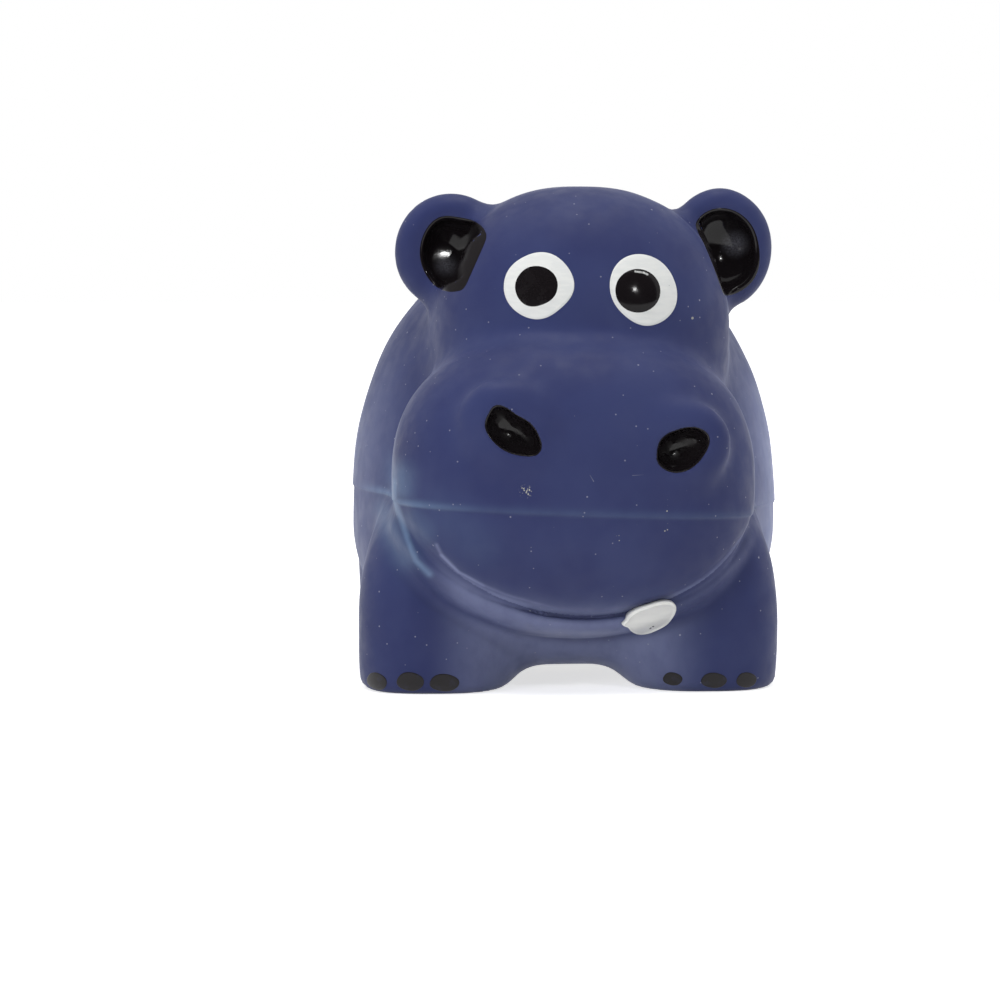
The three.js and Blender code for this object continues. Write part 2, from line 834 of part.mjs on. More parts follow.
function caseGeometry() {
  const ribBottom = lipTop + fitGap;
  return turned([
    [soundHole, caseBottom],
    [flangeRadius, caseBottom],
    [flangeRadius, caseBottom + flangeThick],
    [caseRadius, caseBottom + flangeThick],
    [caseRadius, ribBottom],
    [ribRadius, ribBottom],
    [caseRadius, ribBottom + ribThick],
    [caseRadius, caseTop],
    [caseRadius - caseWall, caseTop],
    [caseRadius - caseWall, caseFloorTop],
    [socketRadius + caseWall, caseFloorTop],
    [socketRadius + caseWall, caseFloorTop + socketHeight],
    [socketRadius, caseFloorTop + socketHeight],
    [socketRadius, caseFloorTop],
    [soundHole, caseFloorTop],
    [soundHole, caseBottom],
  ], squeakerX, squeakerY);
}

// Squeaker cap: a lid on the cup's rim with a plug inside it and a circle of vent holes.

function capGeometry() {
  const bottom = caseTop + fitGap;
  const plugRadius = caseRadius - caseWall - fitGap;
  const ventCircle = plugRadius / 2;
  let cap = solidOf(ring(0, caseRadius, bottom, bottom + capThick));
  const plug = ring(plugRadius - capPlugWall, plugRadius, bottom - capPlugHeight, bottom + capThick / 2);
  cap = cap.add(solidOf(plug));
  for (let n = 0; n < ventHoles; n += 1) {
    const angle = 2 * Math.PI * n / ventHoles;
    const x = squeakerX + ventCircle * Math.cos(angle);
    const y = squeakerY + ventCircle * Math.sin(angle);
    const vent = ring(0, ventRadius, bottom - cutOver, bottom + capThick + cutOver, x, y, holeSteps);
    cap = cap.subtract(solidOf(vent));
  }
  return geometryOf(cap);
}

// Reed tube, the half-round seat inside it, and the reed lying on the seat's flat face.

function tubeGeometry() {
  return ring(tubeBore, tubeRadius, tubeBottom, tubeBottom + tubeHeight);
}

function seatGeometry() {
  const radius = tubeBore - fitGap;
  const outline = new THREE.Shape();
  outline.absarc(0, 0, radius, 0, Math.PI, false);
  const geometry = new THREE.ExtrudeGeometry(outline, {
    depth: tubeHeight, bevelEnabled: false, curveSegments: holeSteps,
  });
  geometry.translate(squeakerX, squeakerY, tubeBottom);
  return geometry;
}

function reedGeometry() {
  const geometry = new THREE.BoxGeometry(reedWide, reedThick, reedLong);
  const y = squeakerY - fitGap - reedThick / 2;
  geometry.translate(squeakerX, y, tubeBottom + tubeHeight - reedLong / 2);
  return geometry;
}

// The tooth's oval has a drip at its left end.

function toothStretch(angle) {
  return 1 + dripShare * Math.exp(-(((angle - Math.PI) / dripAngle) ** 2));
}

// An outline's place in the front view, from the point that it is measured from.

function placed(outline, x, z) {
  return { ...outline, x: x + outline.across, z: z + outline.up };
}

// The assembled toy.

const toy = new THREE.Group();

function addPiece(name, geometry, look) {
  const mesh = new THREE.Mesh(geometry, new THREE.MeshStandardMaterial(look));
  mesh.name = name;
  toy.add(mesh);
}

addPiece('latex_skin', skinGeometry(), latexLook);
addPiece('fibre_filling', fillingGeometry(), fibreLook);
addPiece('squeaker_case', caseGeometry(), plasticLook);
addPiece('squeaker_cap', capGeometry(), plasticLook);
addPiece('reed_tube', tubeGeometry(), plasticLook);
addPiece('reed_seat', seatGeometry(), plasticLook);
addPiece('reed', reedGeometry(), reedLook);
for (const side of ['left', 'right']) {
  const eye = placed(eyeWhites[side], cranium.x, cranium.z);
  const pupil = placed(pupils[side], eye.x, eye.z);
  const leg = side === 'left' ? legPlaces.frontLeft : legPlaces.frontRight;
  const pupilGap = enamelGap + enamelThick + enamelGap;
  const white = paintedFilm(eye, enamelGap, enamelThick, filmSectors, filmRings);
  addPiece(`${side}_eye_white`, white, whiteLook);
  addPiece(`${side}_pupil`, paintedFilm(pupil, pupilGap, enamelThick, filmSectors, filmRings), blackLook);
  addPiece(`${side}_ear_lining`, liningFilm(earHollows[side], headTurn), blackLook);
  addPiece(`${side}_nostril_lining`, liningFilm(nostrilPits[side], new THREE.Matrix4()), blackLook);
  for (const [place, claw] of Object.entries(side === 'left' ? leftClaws : rightClaws)) {
    const outline = {
      ...claw, x: leg.x + claw.acrossShare * legHalfWide, z: claw.up, tilt: 0,
    };
    const film = paintedFilm(outline, enamelGap, enamelThick, clawSectors, 1);
    addPiece(`${side}_foot_${place}_claw`, film, clawLook);
  }
}
const tooth = placed(toothPlace, muzzle.x, muzzle.z - muzzle.below);
addPiece('tooth', paintedFilm(tooth, toothGap, toothThick, filmSectors, toothRings, toothStretch), whiteLook);

export default toy;
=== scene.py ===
"""A squeaking latex dog toy: a chunky standing hippo, moulded hollow, painted by hand and stuffed with fibre.

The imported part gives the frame. Shapes are worked out in millimetres in the part's own frame, with X to
the right seen from the front, Y to the back and Z up, and go into their meshes in metres.
"""

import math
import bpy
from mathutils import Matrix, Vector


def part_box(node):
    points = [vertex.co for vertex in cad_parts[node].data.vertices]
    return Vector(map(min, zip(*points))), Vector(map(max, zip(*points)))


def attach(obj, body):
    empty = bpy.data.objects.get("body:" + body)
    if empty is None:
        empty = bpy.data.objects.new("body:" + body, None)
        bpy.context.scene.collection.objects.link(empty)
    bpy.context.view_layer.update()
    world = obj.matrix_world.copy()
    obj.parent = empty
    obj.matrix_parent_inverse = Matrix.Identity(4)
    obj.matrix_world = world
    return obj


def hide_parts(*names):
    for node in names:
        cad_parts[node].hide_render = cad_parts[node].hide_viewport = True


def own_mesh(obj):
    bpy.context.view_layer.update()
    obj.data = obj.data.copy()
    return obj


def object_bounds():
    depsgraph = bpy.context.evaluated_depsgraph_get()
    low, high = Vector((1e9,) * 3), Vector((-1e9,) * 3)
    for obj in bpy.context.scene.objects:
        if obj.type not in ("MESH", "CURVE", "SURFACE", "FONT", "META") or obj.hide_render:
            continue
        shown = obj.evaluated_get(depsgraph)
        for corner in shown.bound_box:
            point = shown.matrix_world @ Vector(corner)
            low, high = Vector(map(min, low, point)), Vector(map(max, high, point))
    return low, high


bl_info = {
    "name": "Latex hippo dog toy",
    "version": (1, 0, 0),
    "blender": (4, 5, 0),
    "location": "3D View > Sidebar > Hippo",
    "description": "Latex skin, hand painted enamel, fibre filling and squeaker of a dog toy",
    "category": "Add Mesh",
}

from collections import namedtuple

import bpy
import numpy as np
from bpy.props import FloatProperty, FloatVectorProperty, PointerProperty
from bpy.types import Operator, Panel, PropertyGroup
from mathutils import Vector

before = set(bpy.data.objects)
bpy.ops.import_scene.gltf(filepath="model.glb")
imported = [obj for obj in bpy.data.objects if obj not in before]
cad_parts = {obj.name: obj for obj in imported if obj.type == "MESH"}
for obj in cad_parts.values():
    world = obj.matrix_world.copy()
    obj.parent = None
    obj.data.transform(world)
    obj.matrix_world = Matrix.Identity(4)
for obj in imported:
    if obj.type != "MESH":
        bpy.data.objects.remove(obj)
cad_box = [list(corner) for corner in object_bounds()]

MM = 0.001
EPS = 1e-9

# Forms of the skin. An egg has a middle, half sizes towards minus and plus, and a squareness.

Egg = namedtuple("Egg", "middle minus plus squareness")
Hollow = namedtuple("Hollow", "middle axes half shares wall")
Wall = namedtuple("Wall", "across up radius slant")

TRUNK = Egg((-0.2, 8.0, 26.5), (37.8, 38.5, 25.0), (38.2, 44.5, 49.5), 2.3)
CHEST = Egg((-0.6, 1.0, 20.0), (31.0, 36.0, 18.4), (31.0, 42.0, 18.4), 4.5)
BELLY_HEIGHT = 2.5
LEG_HALF = (13.0, 13.4, 23.0)
LEG_MIDDLES = ((-23.8, -26.5, 9.0), (22.2, -25.5, 9.0), (-23.8, 30.0, 9.0), (23.0, 30.0, 9.0))
LEG_SQUARENESS = 2.5
LEGS = [Egg(middle, LEG_HALF, LEG_HALF, LEG_SQUARENESS) for middle in LEG_MIDDLES]

NECK = np.array((0.0, 8.0, 50.0))
HEAD_YAW = math.radians(3.0)
HEAD_ROLL = math.radians(0.5)
CRANIUM = Egg((0.3, -17.0, 60.0), (25.3, 22.5, 24.0), (25.3, 22.5, 25.0), 2.25)
MUZZLE = Egg((-2.4, -33.0, 35.0), (30.4, 22.0, 23.7), (30.4, 22.0, 25.0), 2.5)
JAW = Egg((-3.1, -31.0, 27.0), (29.8, 19.2, 18.2), (29.8, 19.2, 11.0), 2.2)

# The mouth is where a trough, open at the top and running from front to back, cuts the head. The upper lip
# ends there, a groove follows, and then the roll of the lower lip. It fades out towards its corners.

FAR = 1000.0
MOUTH = Egg((-0.7, 0.0, 40.0), (33.0, FAR, 26.0), (30.7, FAR, FAR), 1.9)
MOUTH_FULL_HEIGHT = 25.0
MOUTH_END_HEIGHT = 31.5
MOUTH_FRONT = -36.0
MOUTH_BACK = -26.0
LIP_ROUND = 1.2
GROOVE_START = 0.8
GROOVE_ROUND = 1.0
GROOVE_DEEP = 0.75
GROOVE_BLEND = 0.5
ROLL_PLACE = 2.8
ROLL_WIDTH = 1.7
ROLL_HIGH = 1.2

EAR_HALF_THICK = 3.2
EAR_TURN = math.radians(8.0)
EAR_DISH_OUT = 4.4
EAR_DISH_DEEP = 5.4
EAR_DISH_TILT = math.radians(10.0)
Ear = namedtuple(
    "Ear", "side inset back up wide tall dish_across dish_up dish_wide dish_tall dish_shares wall",
)

# Outlines are given as shares of the half sizes, every 30 degrees round from the right through the top. An
# ear's dish ends in a round wall, where it is cut into the side of the head. The paint ends there along a
# chord, given by the angle of its foot and that foot's share.

EVEN = (1.0,)
LEFT_DISH_SHARES = (1.1, 1.22, 1.07, 1.0, 1.03, 1.0, 0.98, 0.96, 0.98, 1.0, 1.02, 1.05)
RIGHT_DISH_SHARES = (0.98, 0.96, 0.95, 0.99, 1.09, 1.16, 1.08, 1.04, 1.02, 1.0, 0.99, 1.03)
EARS = {
    "left": Ear(
        -1, 3.0, 2.0, 14.0, 9.6, 9.9, 0.2, -0.4, 5.2, 6.3, LEFT_DISH_SHARES, Wall(10.1, -3.8, 8.4, 0.14),
    ),
    "right": Ear(
        1, 0.7, 2.0, 15.0, 9.2, 10.3, 0.2, -0.6, 5.7, 7.35, RIGHT_DISH_SHARES, Wall(-31.3, -8.0, 29.4, 0.12),
    ),
}
EAR_CHORDS = {"left": (math.radians(-28.6), 0.79), "right": (math.radians(205.0), 0.64)}

NOSTRIL_PIT_OUT = 1.2
NOSTRIL_PIT_DEEP = 4.2
NOSTRIL_SWELL_IN = 2.4
NOSTRIL_SWELL_MORE = 3.2
NOSTRIL_SWELL_DEEP = 3.3
Nostril = namedtuple("Nostril", "across up long short tilt shares")
LEFT_PIT_SHARES = (0.99, 0.97, 0.88, 0.77, 0.76, 0.95, 0.91, 0.94, 0.98, 0.93, 0.87, 0.88)
RIGHT_PIT_SHARES = (1.0, 0.98, 0.92, 0.9, 0.96, 0.9, 0.93, 0.96, 1.0, 0.97, 0.9, 0.92)
NOSTRILS = {
    "left": Nostril(-8.9, 9.8, 5.5, 3.6, math.radians(-42.0), LEFT_PIT_SHARES),
    "right": Nostril(18.8, 6.8, 4.9, 3.6, math.radians(24.0), RIGHT_PIT_SHARES),
}

TAIL_TOP = (0.0, 49.5, 44.0)
TAIL_TIP = (1.5, 52.2, 35.0)
TAIL_TOP_RADIUS = 2.7
TAIL_TIP_RADIUS = 3.4

# Radii over which two forms flow into each other.

CHEST_BLEND = 6.0
BELLY_BLEND = 3.0
LEG_BLEND = 7.0
NECK_BLEND = 6.0
JAW_BLEND = 2.0
BROW_BLEND = 5.0
MOUTH_BLEND = 1.4
EAR_BLEND = 3.0
NOSTRIL_BLEND = 3.0
TAIL_BLEND = 3.0
SOLE_BLEND = 2.0
RIM_BLEND = 0.6
WALL_BLEND = 0.5

# The parting line of the mould runs right round, a little lower on the right.

SEAM_HEIGHT = 31.2
SEAM_SLOPE = 0.04
SEAM_SOFT = 0.22
WAVE_LENGTHS = ((23.0, 31.0, 27.0), (17.0, -19.0, 22.0), (-13.0, 16.0, 14.0))

def linear(code):
    """The linear colour of an sRGB hex code, by the standard's two-part curve."""
    parts = [int(code[start:start + 2], 16) / 255.0 for start in (1, 3, 5)]
    return tuple(part / 12.92 if part <= 0.04045 else ((part + 0.055) / 1.055) ** 2.4 for part in parts)


def rgba(colour):
    return (*colour, 1.0)


def soft_min(a, b, radius):
    """The lower of two distances, rounded where they differ by less than the radius: their minimum less a
    quarter of the radius times the square of the share left."""
    share = np.maximum(radius - np.abs(a - b), 0.0) / radius
    return np.minimum(a, b) - share * share * radius / 4.0


def soft_max(a, b, radius):
    return -soft_min(-a, -b, radius)


def egg_distance(points, egg):
    """Distance to an egg to first order. With each share the offset over its half size, and s the sum of the
    shares to the power n, it is s to the power 1/n, less one, over that value's slope."""
    offset = points - egg.middle
    half = np.where(offset < 0.0, egg.minus, egg.plus)
    share = np.abs(offset) / half + EPS
    power = share ** (egg.squareness - 1.0)
    total = (power * share).sum(axis=1)
    scale = total ** (1.0 / egg.squareness)
    slope = np.linalg.norm(power / half, axis=1) * scale / total
    return (scale - 1.0) / slope


# A hollow is worked out within this many of its longest half size.

HOLLOW_REACH = 3.0


def hollow_distance(points, hollow):
    """Distance to a bowl with axes of its own, to first order. Its outline follows the shares. It is a half
    ellipsoid behind its middle and in front, or with a wall a straight shaft in front that stays outside the
    wall: a round column, narrower towards the front by its slant."""
    away = points - hollow.middle
    distance = np.linalg.norm(away, axis=1)
    near = distance < HOLLOW_REACH * max(hollow.half)
    local = away[near] @ hollow.axes.T
    share = local / hollow.half
    share[:, :2] /= outline(hollow.shares, np.arctan2(share[:, 1], share[:, 0]))[:, None]
    if hollow.wall is not None:
        share[:, 2] = np.minimum(share[:, 2], 0.0)
    scale = np.linalg.norm(share, axis=1)
    slope = np.linalg.norm(share / hollow.half, axis=1)
    distance[near] = scale * (scale - 1.0) / (slope + EPS)
    if hollow.wall is not None:
        wall = hollow.wall
        off_axis = np.hypot(local[:, 0] - wall.across, local[:, 1] - wall.up)
        inside = wall.radius - wall.slant * local[:, 2] - off_axis
        distance[near] = soft_max(distance[near], inside, WALL_BLEND)
    return distance


def outline(shares, angles):
    """Reach of a closed outline at angles, from shares at even angles, joined by a smooth periodic curve:
    the sum of the outline's own waves up to half as many as it has shares."""
    if len(shares) == 1:
        return np.full(len(angles), shares[0])
    waves = np.fft.rfft(shares) / len(shares)
    orders = np.arange(len(waves))
    weights = np.where((orders == 0) | (orders * 2 == len(shares)), 1.0, 2.0)
    return (weights * waves * np.exp(1j * np.outer(angles, orders))).sum(axis=1).real


def rod_distance(points, start, end, start_radius, end_radius):
    """Distance to a round rod whose radius runs evenly from one end to the other."""
    line = np.subtract(end, start)
    along = np.clip((points - start) @ line / (line @ line), 0.0, 1.0)
    foot = np.outer(along, line) + start
    return np.linalg.norm(points - foot, axis=1) - (start_radius + (end_radius - start_radius) * along)


def turn_matrix(yaw, roll):
    """A turn about the side to side axis of the front view, then one about the upright."""
    about_y = np.array((
        (math.cos(roll), 0.0, math.sin(roll)), (0.0, 1.0, 0.0), (-math.sin(roll), 0.0, math.cos(roll)),
    ))
    about_z = np.array((
        (math.cos(yaw), -math.sin(yaw), 0.0), (math.sin(yaw), math.cos(yaw), 0.0), (0.0, 0.0, 1.0),
    ))
    return about_z @ about_y


HEAD_TURN = turn_matrix(HEAD_YAW, HEAD_ROLL)


def to_head(points):
    """Points of the toy in the straight head's own frame."""
    return (points - NECK) @ HEAD_TURN + NECK


def from_head(points):
    return (points - NECK) @ HEAD_TURN.T + NECK


def upper_head(head_points):
    return soft_min(egg_distance(head_points, CRANIUM), egg_distance(head_points, MUZZLE), BROW_BLEND)


def meet(form, x, z, start, steps=90):
    """Points straight behind a start line where a form is zero: each step goes back by the form's value."""
    points = np.stack([x, np.full_like(x, start), z], axis=1)
    for _ in range(steps):
        points[:, 1] += form(points)
    return points


FRONT_CLEARANCE = 3.0
FRONT = MUZZLE.middle[1] - MUZZLE.minus[1] - FRONT_CLEARANCE


def ear_frame(ear):
    """Middle of an ear's pad and its directions across, up and out of its face, in the head's frame."""
    turn = EAR_TURN * ear.side
    half_head = CRANIUM.minus[0] if ear.side < 0 else CRANIUM.plus[0]
    middle = np.add(CRANIUM.middle, (ear.side * (half_head - ear.inset), ear.back, ear.up))
    across = np.array((math.cos(turn), math.sin(turn), 0.0))
    out = np.array((math.sin(turn), -math.cos(turn), 0.0))
    return middle, across, np.array((0.0, 0.0, 1.0)), out


def ear_dish(ear):
    middle, across, up, out = ear_frame(ear)
    centre = middle + across * ear.dish_across + up * ear.dish_up + out * EAR_DISH_OUT
    lean, rise = math.cos(EAR_DISH_TILT), math.sin(EAR_DISH_TILT)
    up, out = up * lean - out * rise, out * lean + up * rise
    half = np.array((ear.dish_wide, ear.dish_tall, EAR_DISH_DEEP))
    return Hollow(centre, np.stack([across, up, out]), half, ear.dish_shares, ear.wall)


def ear_distance(head_points, ear):
    """A round pad: a disc in the ear's plane grown by its half thickness."""
    middle, across, up, out = ear_frame(ear)
    local = head_points - middle
    reach = np.hypot(local @ across, local @ up * ear.wide / ear.tall)
    beyond = np.maximum(reach - ear.wide + EAR_HALF_THICK, 0.0)
    return np.hypot(beyond, local @ out) - EAR_HALF_THICK


def nostril_hollow(nostril, out, grow, deep, shares):
    """A bowl on the front of the muzzle, moved out from it and grown."""
    x = np.array([MUZZLE.middle[0] + nostril.across])
    z = np.array([MUZZLE.middle[2] + nostril.up])
    centre = meet(lambda points: upper_head(to_head(points)), x, z, FRONT)[0]
    centre[1] -= out
    slant, rise = math.cos(nostril.tilt), math.sin(nostril.tilt)
    axes = np.array(((slant, 0.0, rise), (-rise, 0.0, slant), (0.0, -1.0, 0.0)))
    return Hollow(centre, axes, np.array((nostril.long + grow, nostril.short + grow, deep)), shares, None)


EAR_DISHES = {side: ear_dish(ear) for side, ear in EARS.items()}
NOSTRIL_PITS = {
    side: nostril_hollow(nostril, NOSTRIL_PIT_OUT, 0.0, NOSTRIL_PIT_DEEP, nostril.shares)
    for side, nostril in NOSTRILS.items()
}
NOSTRIL_SWELLS = {
    side: nostril_hollow(nostril, -NOSTRIL_SWELL_IN, NOSTRIL_SWELL_MORE, NOSTRIL_SWELL_DEEP, EVEN)
    for side, nostril in NOSTRILS.items()
}


def body_form(points, head_points):
    """Trunk, chest, legs and neck."""
    form = soft_min(egg_distance(points, TRUNK), egg_distance(points, CHEST), CHEST_BLEND)
    form = soft_max(form, BELLY_HEIGHT - points[:, 2], BELLY_BLEND)
    for leg in LEGS:
        form = soft_min(form, egg_distance(points, leg), LEG_BLEND)
    return soft_min(form, egg_distance(head_points, CRANIUM), NECK_BLEND)


def upper_form(points, head_points):
    """Head over the mouth, with the swellings of the nostrils."""
    form = upper_head(head_points)
    for swell in NOSTRIL_SWELLS.values():
        form = soft_min(form, hollow_distance(points, swell), NOSTRIL_BLEND)
    return form


def smooth_step(value, start, end):
    """Zero before the start, one after the end, and an even s-curve between."""
    share = np.clip((value - start) / (end - start), 0.0, 1.0)
    return share * share * (3.0 - 2.0 * share)


def plain_form(points, head_points):
    """Body, jaw and head as they flow together where the mouth isn't worked out."""
    lower = soft_min(body_form(points, head_points), egg_distance(head_points, JAW), JAW_BLEND)
    form = soft_min(lower, upper_form(points, head_points), MOUTH_BLEND)
    return soft_max(form, -points[:, 2], SOLE_BLEND)


def mouth_form(points, head_points):
    """The same with the mouth: upper lip rounded off at the trough, groove, and roll of the lower lip."""
    body = body_form(points, head_points)
    jaw = egg_distance(head_points, JAW)
    upper = upper_form(points, head_points)
    plain = soft_min(soft_min(body, jaw, JAW_BLEND), upper, MOUTH_BLEND)
    below = egg_distance(head_points, MOUTH)
    lip = soft_max(upper, below, LIP_ROUND)
    roll = ROLL_HIGH * np.exp(-((below - ROLL_PLACE) / ROLL_WIDTH) ** 2)
    under = soft_max(jaw - roll, GROOVE_START - below, GROOVE_ROUND)
    ground = np.minimum(upper, jaw) + GROOVE_DEEP
    shaped = soft_min(soft_min(lip, under, GROOVE_BLEND), ground, GROOVE_BLEND)
    shaped = soft_min(body, shaped, JAW_BLEND)
    fade = smooth_step(head_points[:, 2], MOUTH_END_HEIGHT, MOUTH_FULL_HEIGHT)
    fade = fade * smooth_step(head_points[:, 1], MOUTH_BACK, MOUTH_FRONT)
    return plain + (shaped - plain) * fade


def seam_offset(points):
    """Height of points over the parting line."""
    return points[:, 2] - SEAM_HEIGHT + SEAM_SLOPE * points[:, 0]


def waviness(points):
    """A slow unevenness of the casting between minus and plus one: a mean of crossed sine waves."""
    phases = points @ (2.0 * math.pi / np.array(WAVE_LENGTHS)).T
    return np.sin(phases).mean(axis=1)


def outer_form(points, sizes):
    """The whole outside: ears and tail added, dishes and pits pressed in, parting line and waves on top."""
    head_points = to_head(points)
    form = mouth_form(points, head_points)
    for ear in EARS.values():
        form = soft_min(form, ear_distance(head_points, ear), EAR_BLEND)
    tail = rod_distance(points, TAIL_TOP, TAIL_TIP, TAIL_TOP_RADIUS, TAIL_TIP_RADIUS)
    form = soft_min(form, tail, TAIL_BLEND)
    for dish in EAR_DISHES.values():
        form = soft_max(form, -hollow_distance(head_points, dish), RIM_BLEND)
    for pit in NOSTRIL_PITS.values():
        form = soft_max(form, -hollow_distance(points, pit), RIM_BLEND)
    over = seam_offset(points) / SEAM_SOFT
    form = form - sizes.seam_step / MM / 2.0 * np.tanh(over)
    form = form - sizes.seam_ridge / MM * np.exp(-over * over)
    form = form - sizes.waviness / MM * waviness(points)
    return soft_max(form, -points[:, 2], SOLE_BLEND)


def slopes(form, points, step=0.02):
    """Slope of a form at points, by central differences."""
    slope = np.empty_like(points)
    for axis in range(3):
        shift = np.zeros(3)
        shift[axis] = step
        slope[:, axis] = (form(points + shift) - form(points - shift)) / (2.0 * step)
    return slope


LEAST_SQUARE_SLOPE = 0.1
RELAX_REACH = 1.0


def draw_onto(form, points, reach, steps=3):
    """Moves points along the slope until the form is zero there, by Newton's rule with a limited reach."""
    for _ in range(steps):
        slope = slopes(form, points)
        square = np.maximum((slope * slope).sum(axis=1), LEAST_SQUARE_SLOPE)
        move = slope * (-form(points) / square)[:, None]
        length = np.linalg.norm(move, axis=1)
        points = points + move * np.minimum(1.0, reach / np.maximum(length, EPS))[:, None]
    return points


def contour(form, lows, highs, cell):
    """Closed triangle mesh of a form's zero surface on an even grid. Each cell that the surface crosses gets
    one point, the mean of the crossings on its edges, and each crossed edge one quad between its four
    cells."""
    lines = [np.arange(low, high + cell, cell) for low, high in zip(lows, highs)]
    grid = np.stack(np.meshgrid(*lines, indexing="ij"), axis=-1)
    values = form(grid.reshape(-1, 3)).reshape(grid.shape[:3])
    cells = tuple(count - 1 for count in values.shape)
    total = np.zeros((*cells, 3))
    hits = np.zeros(cells, int)
    crossings = []
    for axis in range(3):
        near = [slice(None)] * 3
        far = [slice(None)] * 3
        near[axis] = slice(None, -1)
        far[axis] = slice(1, None)
        at_near, at_far = values[tuple(near)], values[tuple(far)]
        crossed = (at_near < 0.0) != (at_far < 0.0)
        share = np.where(crossed, at_near / np.where(crossed, at_near - at_far, 1.0), 0.0)[..., None]
        points = grid[tuple(near)] + (grid[tuple(far)] - grid[tuple(near)]) * share
        points = np.where(crossed[..., None], points, 0.0)
        crossings.append((crossed, at_near < 0.0))
        others = [other for other in range(3) if other != axis]
        for first in (0, 1):
            for second in (0, 1):
                part = [slice(None)] * 3
                part[others[0]] = slice(first, first + cells[others[0]])
                part[others[1]] = slice(second, second + cells[others[1]])
                total += points[tuple(part)]
                hits += crossed[tuple(part)]
    used = hits > 0
    number = np.cumsum(used).reshape(cells) - 1
    points = total[used] / hits[used][:, None]
    quads = []
    for axis, (crossed, inside) in enumerate(crossings):
        u, v = (axis + 1) % 3, (axis + 2) % 3
        at = np.argwhere(crossed)
        at = at[(at[:, u] > 0) & (at[:, v] > 0) & (at[:, u] < cells[u]) & (at[:, v] < cells[v])]
        step_u = np.eye(3, dtype=int)[u]
        step_v = np.eye(3, dtype=int)[v]
        round_edge = [at - step_u - step_v, at - step_v, at, at - step_u]
        quad = np.stack([number[tuple(corner.T)] for corner in round_edge], axis=1)
        outward = inside[tuple(at.T)]
        quads.append(np.where(outward[:, None], quad, quad[:, ::-1]))
    quads = np.concatenate(quads)
    points = draw_onto(form, points, cell / 2.0)
    return points, split_quads(points, quads)


def split_quads(points, quads):
    """Two triangles for each quad, cut along its shorter diagonal."""
    first = np.linalg.norm(points[quads[:, 0]] - points[quads[:, 2]], axis=1)
    second = np.linalg.norm(points[quads[:, 1]] - points[quads[:, 3]], axis=1)
    turned = np.where((first < second)[:, None], quads, np.roll(quads, -1, axis=1))
    return np.concatenate([turned[:, [0, 1, 2]], turned[:, [0, 2, 3]]])


def refine(form, points, triangles, wanted):
    """Halves each edge that is longer than the length wanted at its middle. A triangle with one, two or three
    halved edges becomes two, three or four, and the new points are drawn onto the form."""
    sides = np.sort(np.stack([triangles, np.roll(triangles, -1, axis=1)], axis=-1).reshape(-1, 2), axis=1)
    edges, edge_of_side = np.unique(sides, axis=0, return_inverse=True)
    edge_of_side = edge_of_side.reshape(-1, 3)
    middles = points[edges].mean(axis=1)
    lengths = np.linalg.norm(points[edges[:, 0]] - points[edges[:, 1]], axis=1)
    halved = lengths > wanted(middles)
    new_number = len(points) + np.cumsum(halved) - 1
    grown = np.concatenate([points, draw_onto(form, middles[halved], lengths.max() / 4.0)])
    code = halved[edge_of_side] @ (1, 2, 4)
    turns = np.array((0, 0, 1, 0, 2, 2, 1, 0))[code]
    order = (np.arange(3) + turns[:, None]) % 3
    corners = np.take_along_axis(triangles, order, axis=1)
    mids = np.take_along_axis(new_number[edge_of_side], order, axis=1)
    a, b, c = corners.T
    ab, bc, ca = mids.T
    count = np.array((0, 1, 1, 2, 1, 2, 2, 3))[code]
    parts = [corners[count == 0]]
    for wanted_count, rows in (
        (1, ((a, ab, c), (ab, b, c))),
        (2, ((a, ab, bc), (a, bc, c), (ab, b, bc))),
        (3, ((a, ab, ca), (ab, b, bc), (ca, bc, c), (ab, bc, ca))),
    ):
        parts.extend(np.stack(row, axis=1)[count == wanted_count] for row in rows)
    return grown, np.concatenate(parts)


def relax(form, points, triangles, rounds=3):
    """Evens out a triangle mesh: each point goes half way to the mean of its neighbours, then back to the
    form."""
    sides = np.concatenate([triangles[:, [0, 1]], triangles[:, [1, 2]], triangles[:, [2, 0]]])
    counts = np.bincount(sides[:, 0], minlength=len(points))[:, None]
    for _ in range(rounds):
        mean = np.stack([
            np.bincount(sides[:, 0], weights=points[sides[:, 1], axis], minlength=len(points))
            for axis in range(3)
        ], axis=1) / counts
        points = draw_onto(form, (points + mean) / 2.0, RELAX_REACH, steps=2)
    return points


def mesh_object(name, points, faces, material, sharp=None):
    """A mesh object from points in millimetres and lists of faces with three or four corners each."""
    faces = [np.asarray(part, int) for part in faces]
    loops = np.concatenate([part.ravel() for part in faces])
    sizes = np.concatenate([np.full(len(part), part.shape[1]) for part in faces])
    mesh = bpy.data.meshes.new(name)
    mesh.vertices.add(len(points))
    mesh.vertices.foreach_set("co", (np.asarray(points) * MM).astype(np.float32).ravel())
    mesh.loops.add(len(loops))
    mesh.loops.foreach_set("vertex_index", loops.astype(np.int32))
    mesh.polygons.add(len(sizes))
    mesh.polygons.foreach_set("loop_start", np.concatenate([[0], np.cumsum(sizes)[:-1]]).astype(np.int32))
    mesh.update(calc_edges=True)
    mesh.validate()
    piece = bpy.data.objects.new(name, mesh)
    bpy.context.scene.collection.objects.link(piece)
    finish_surface(piece, material, sharp)
    return piece


def finish_surface(piece, material, sharp=None):
    """Gives a piece its one material and smooth shading, with edges sharp over an angle."""
    piece.data.materials.clear()
    piece.data.materials.append(material)
    piece.data.shade_smooth()
    if sharp is not None:
        piece.data.set_sharp_from_angle(angle=sharp)


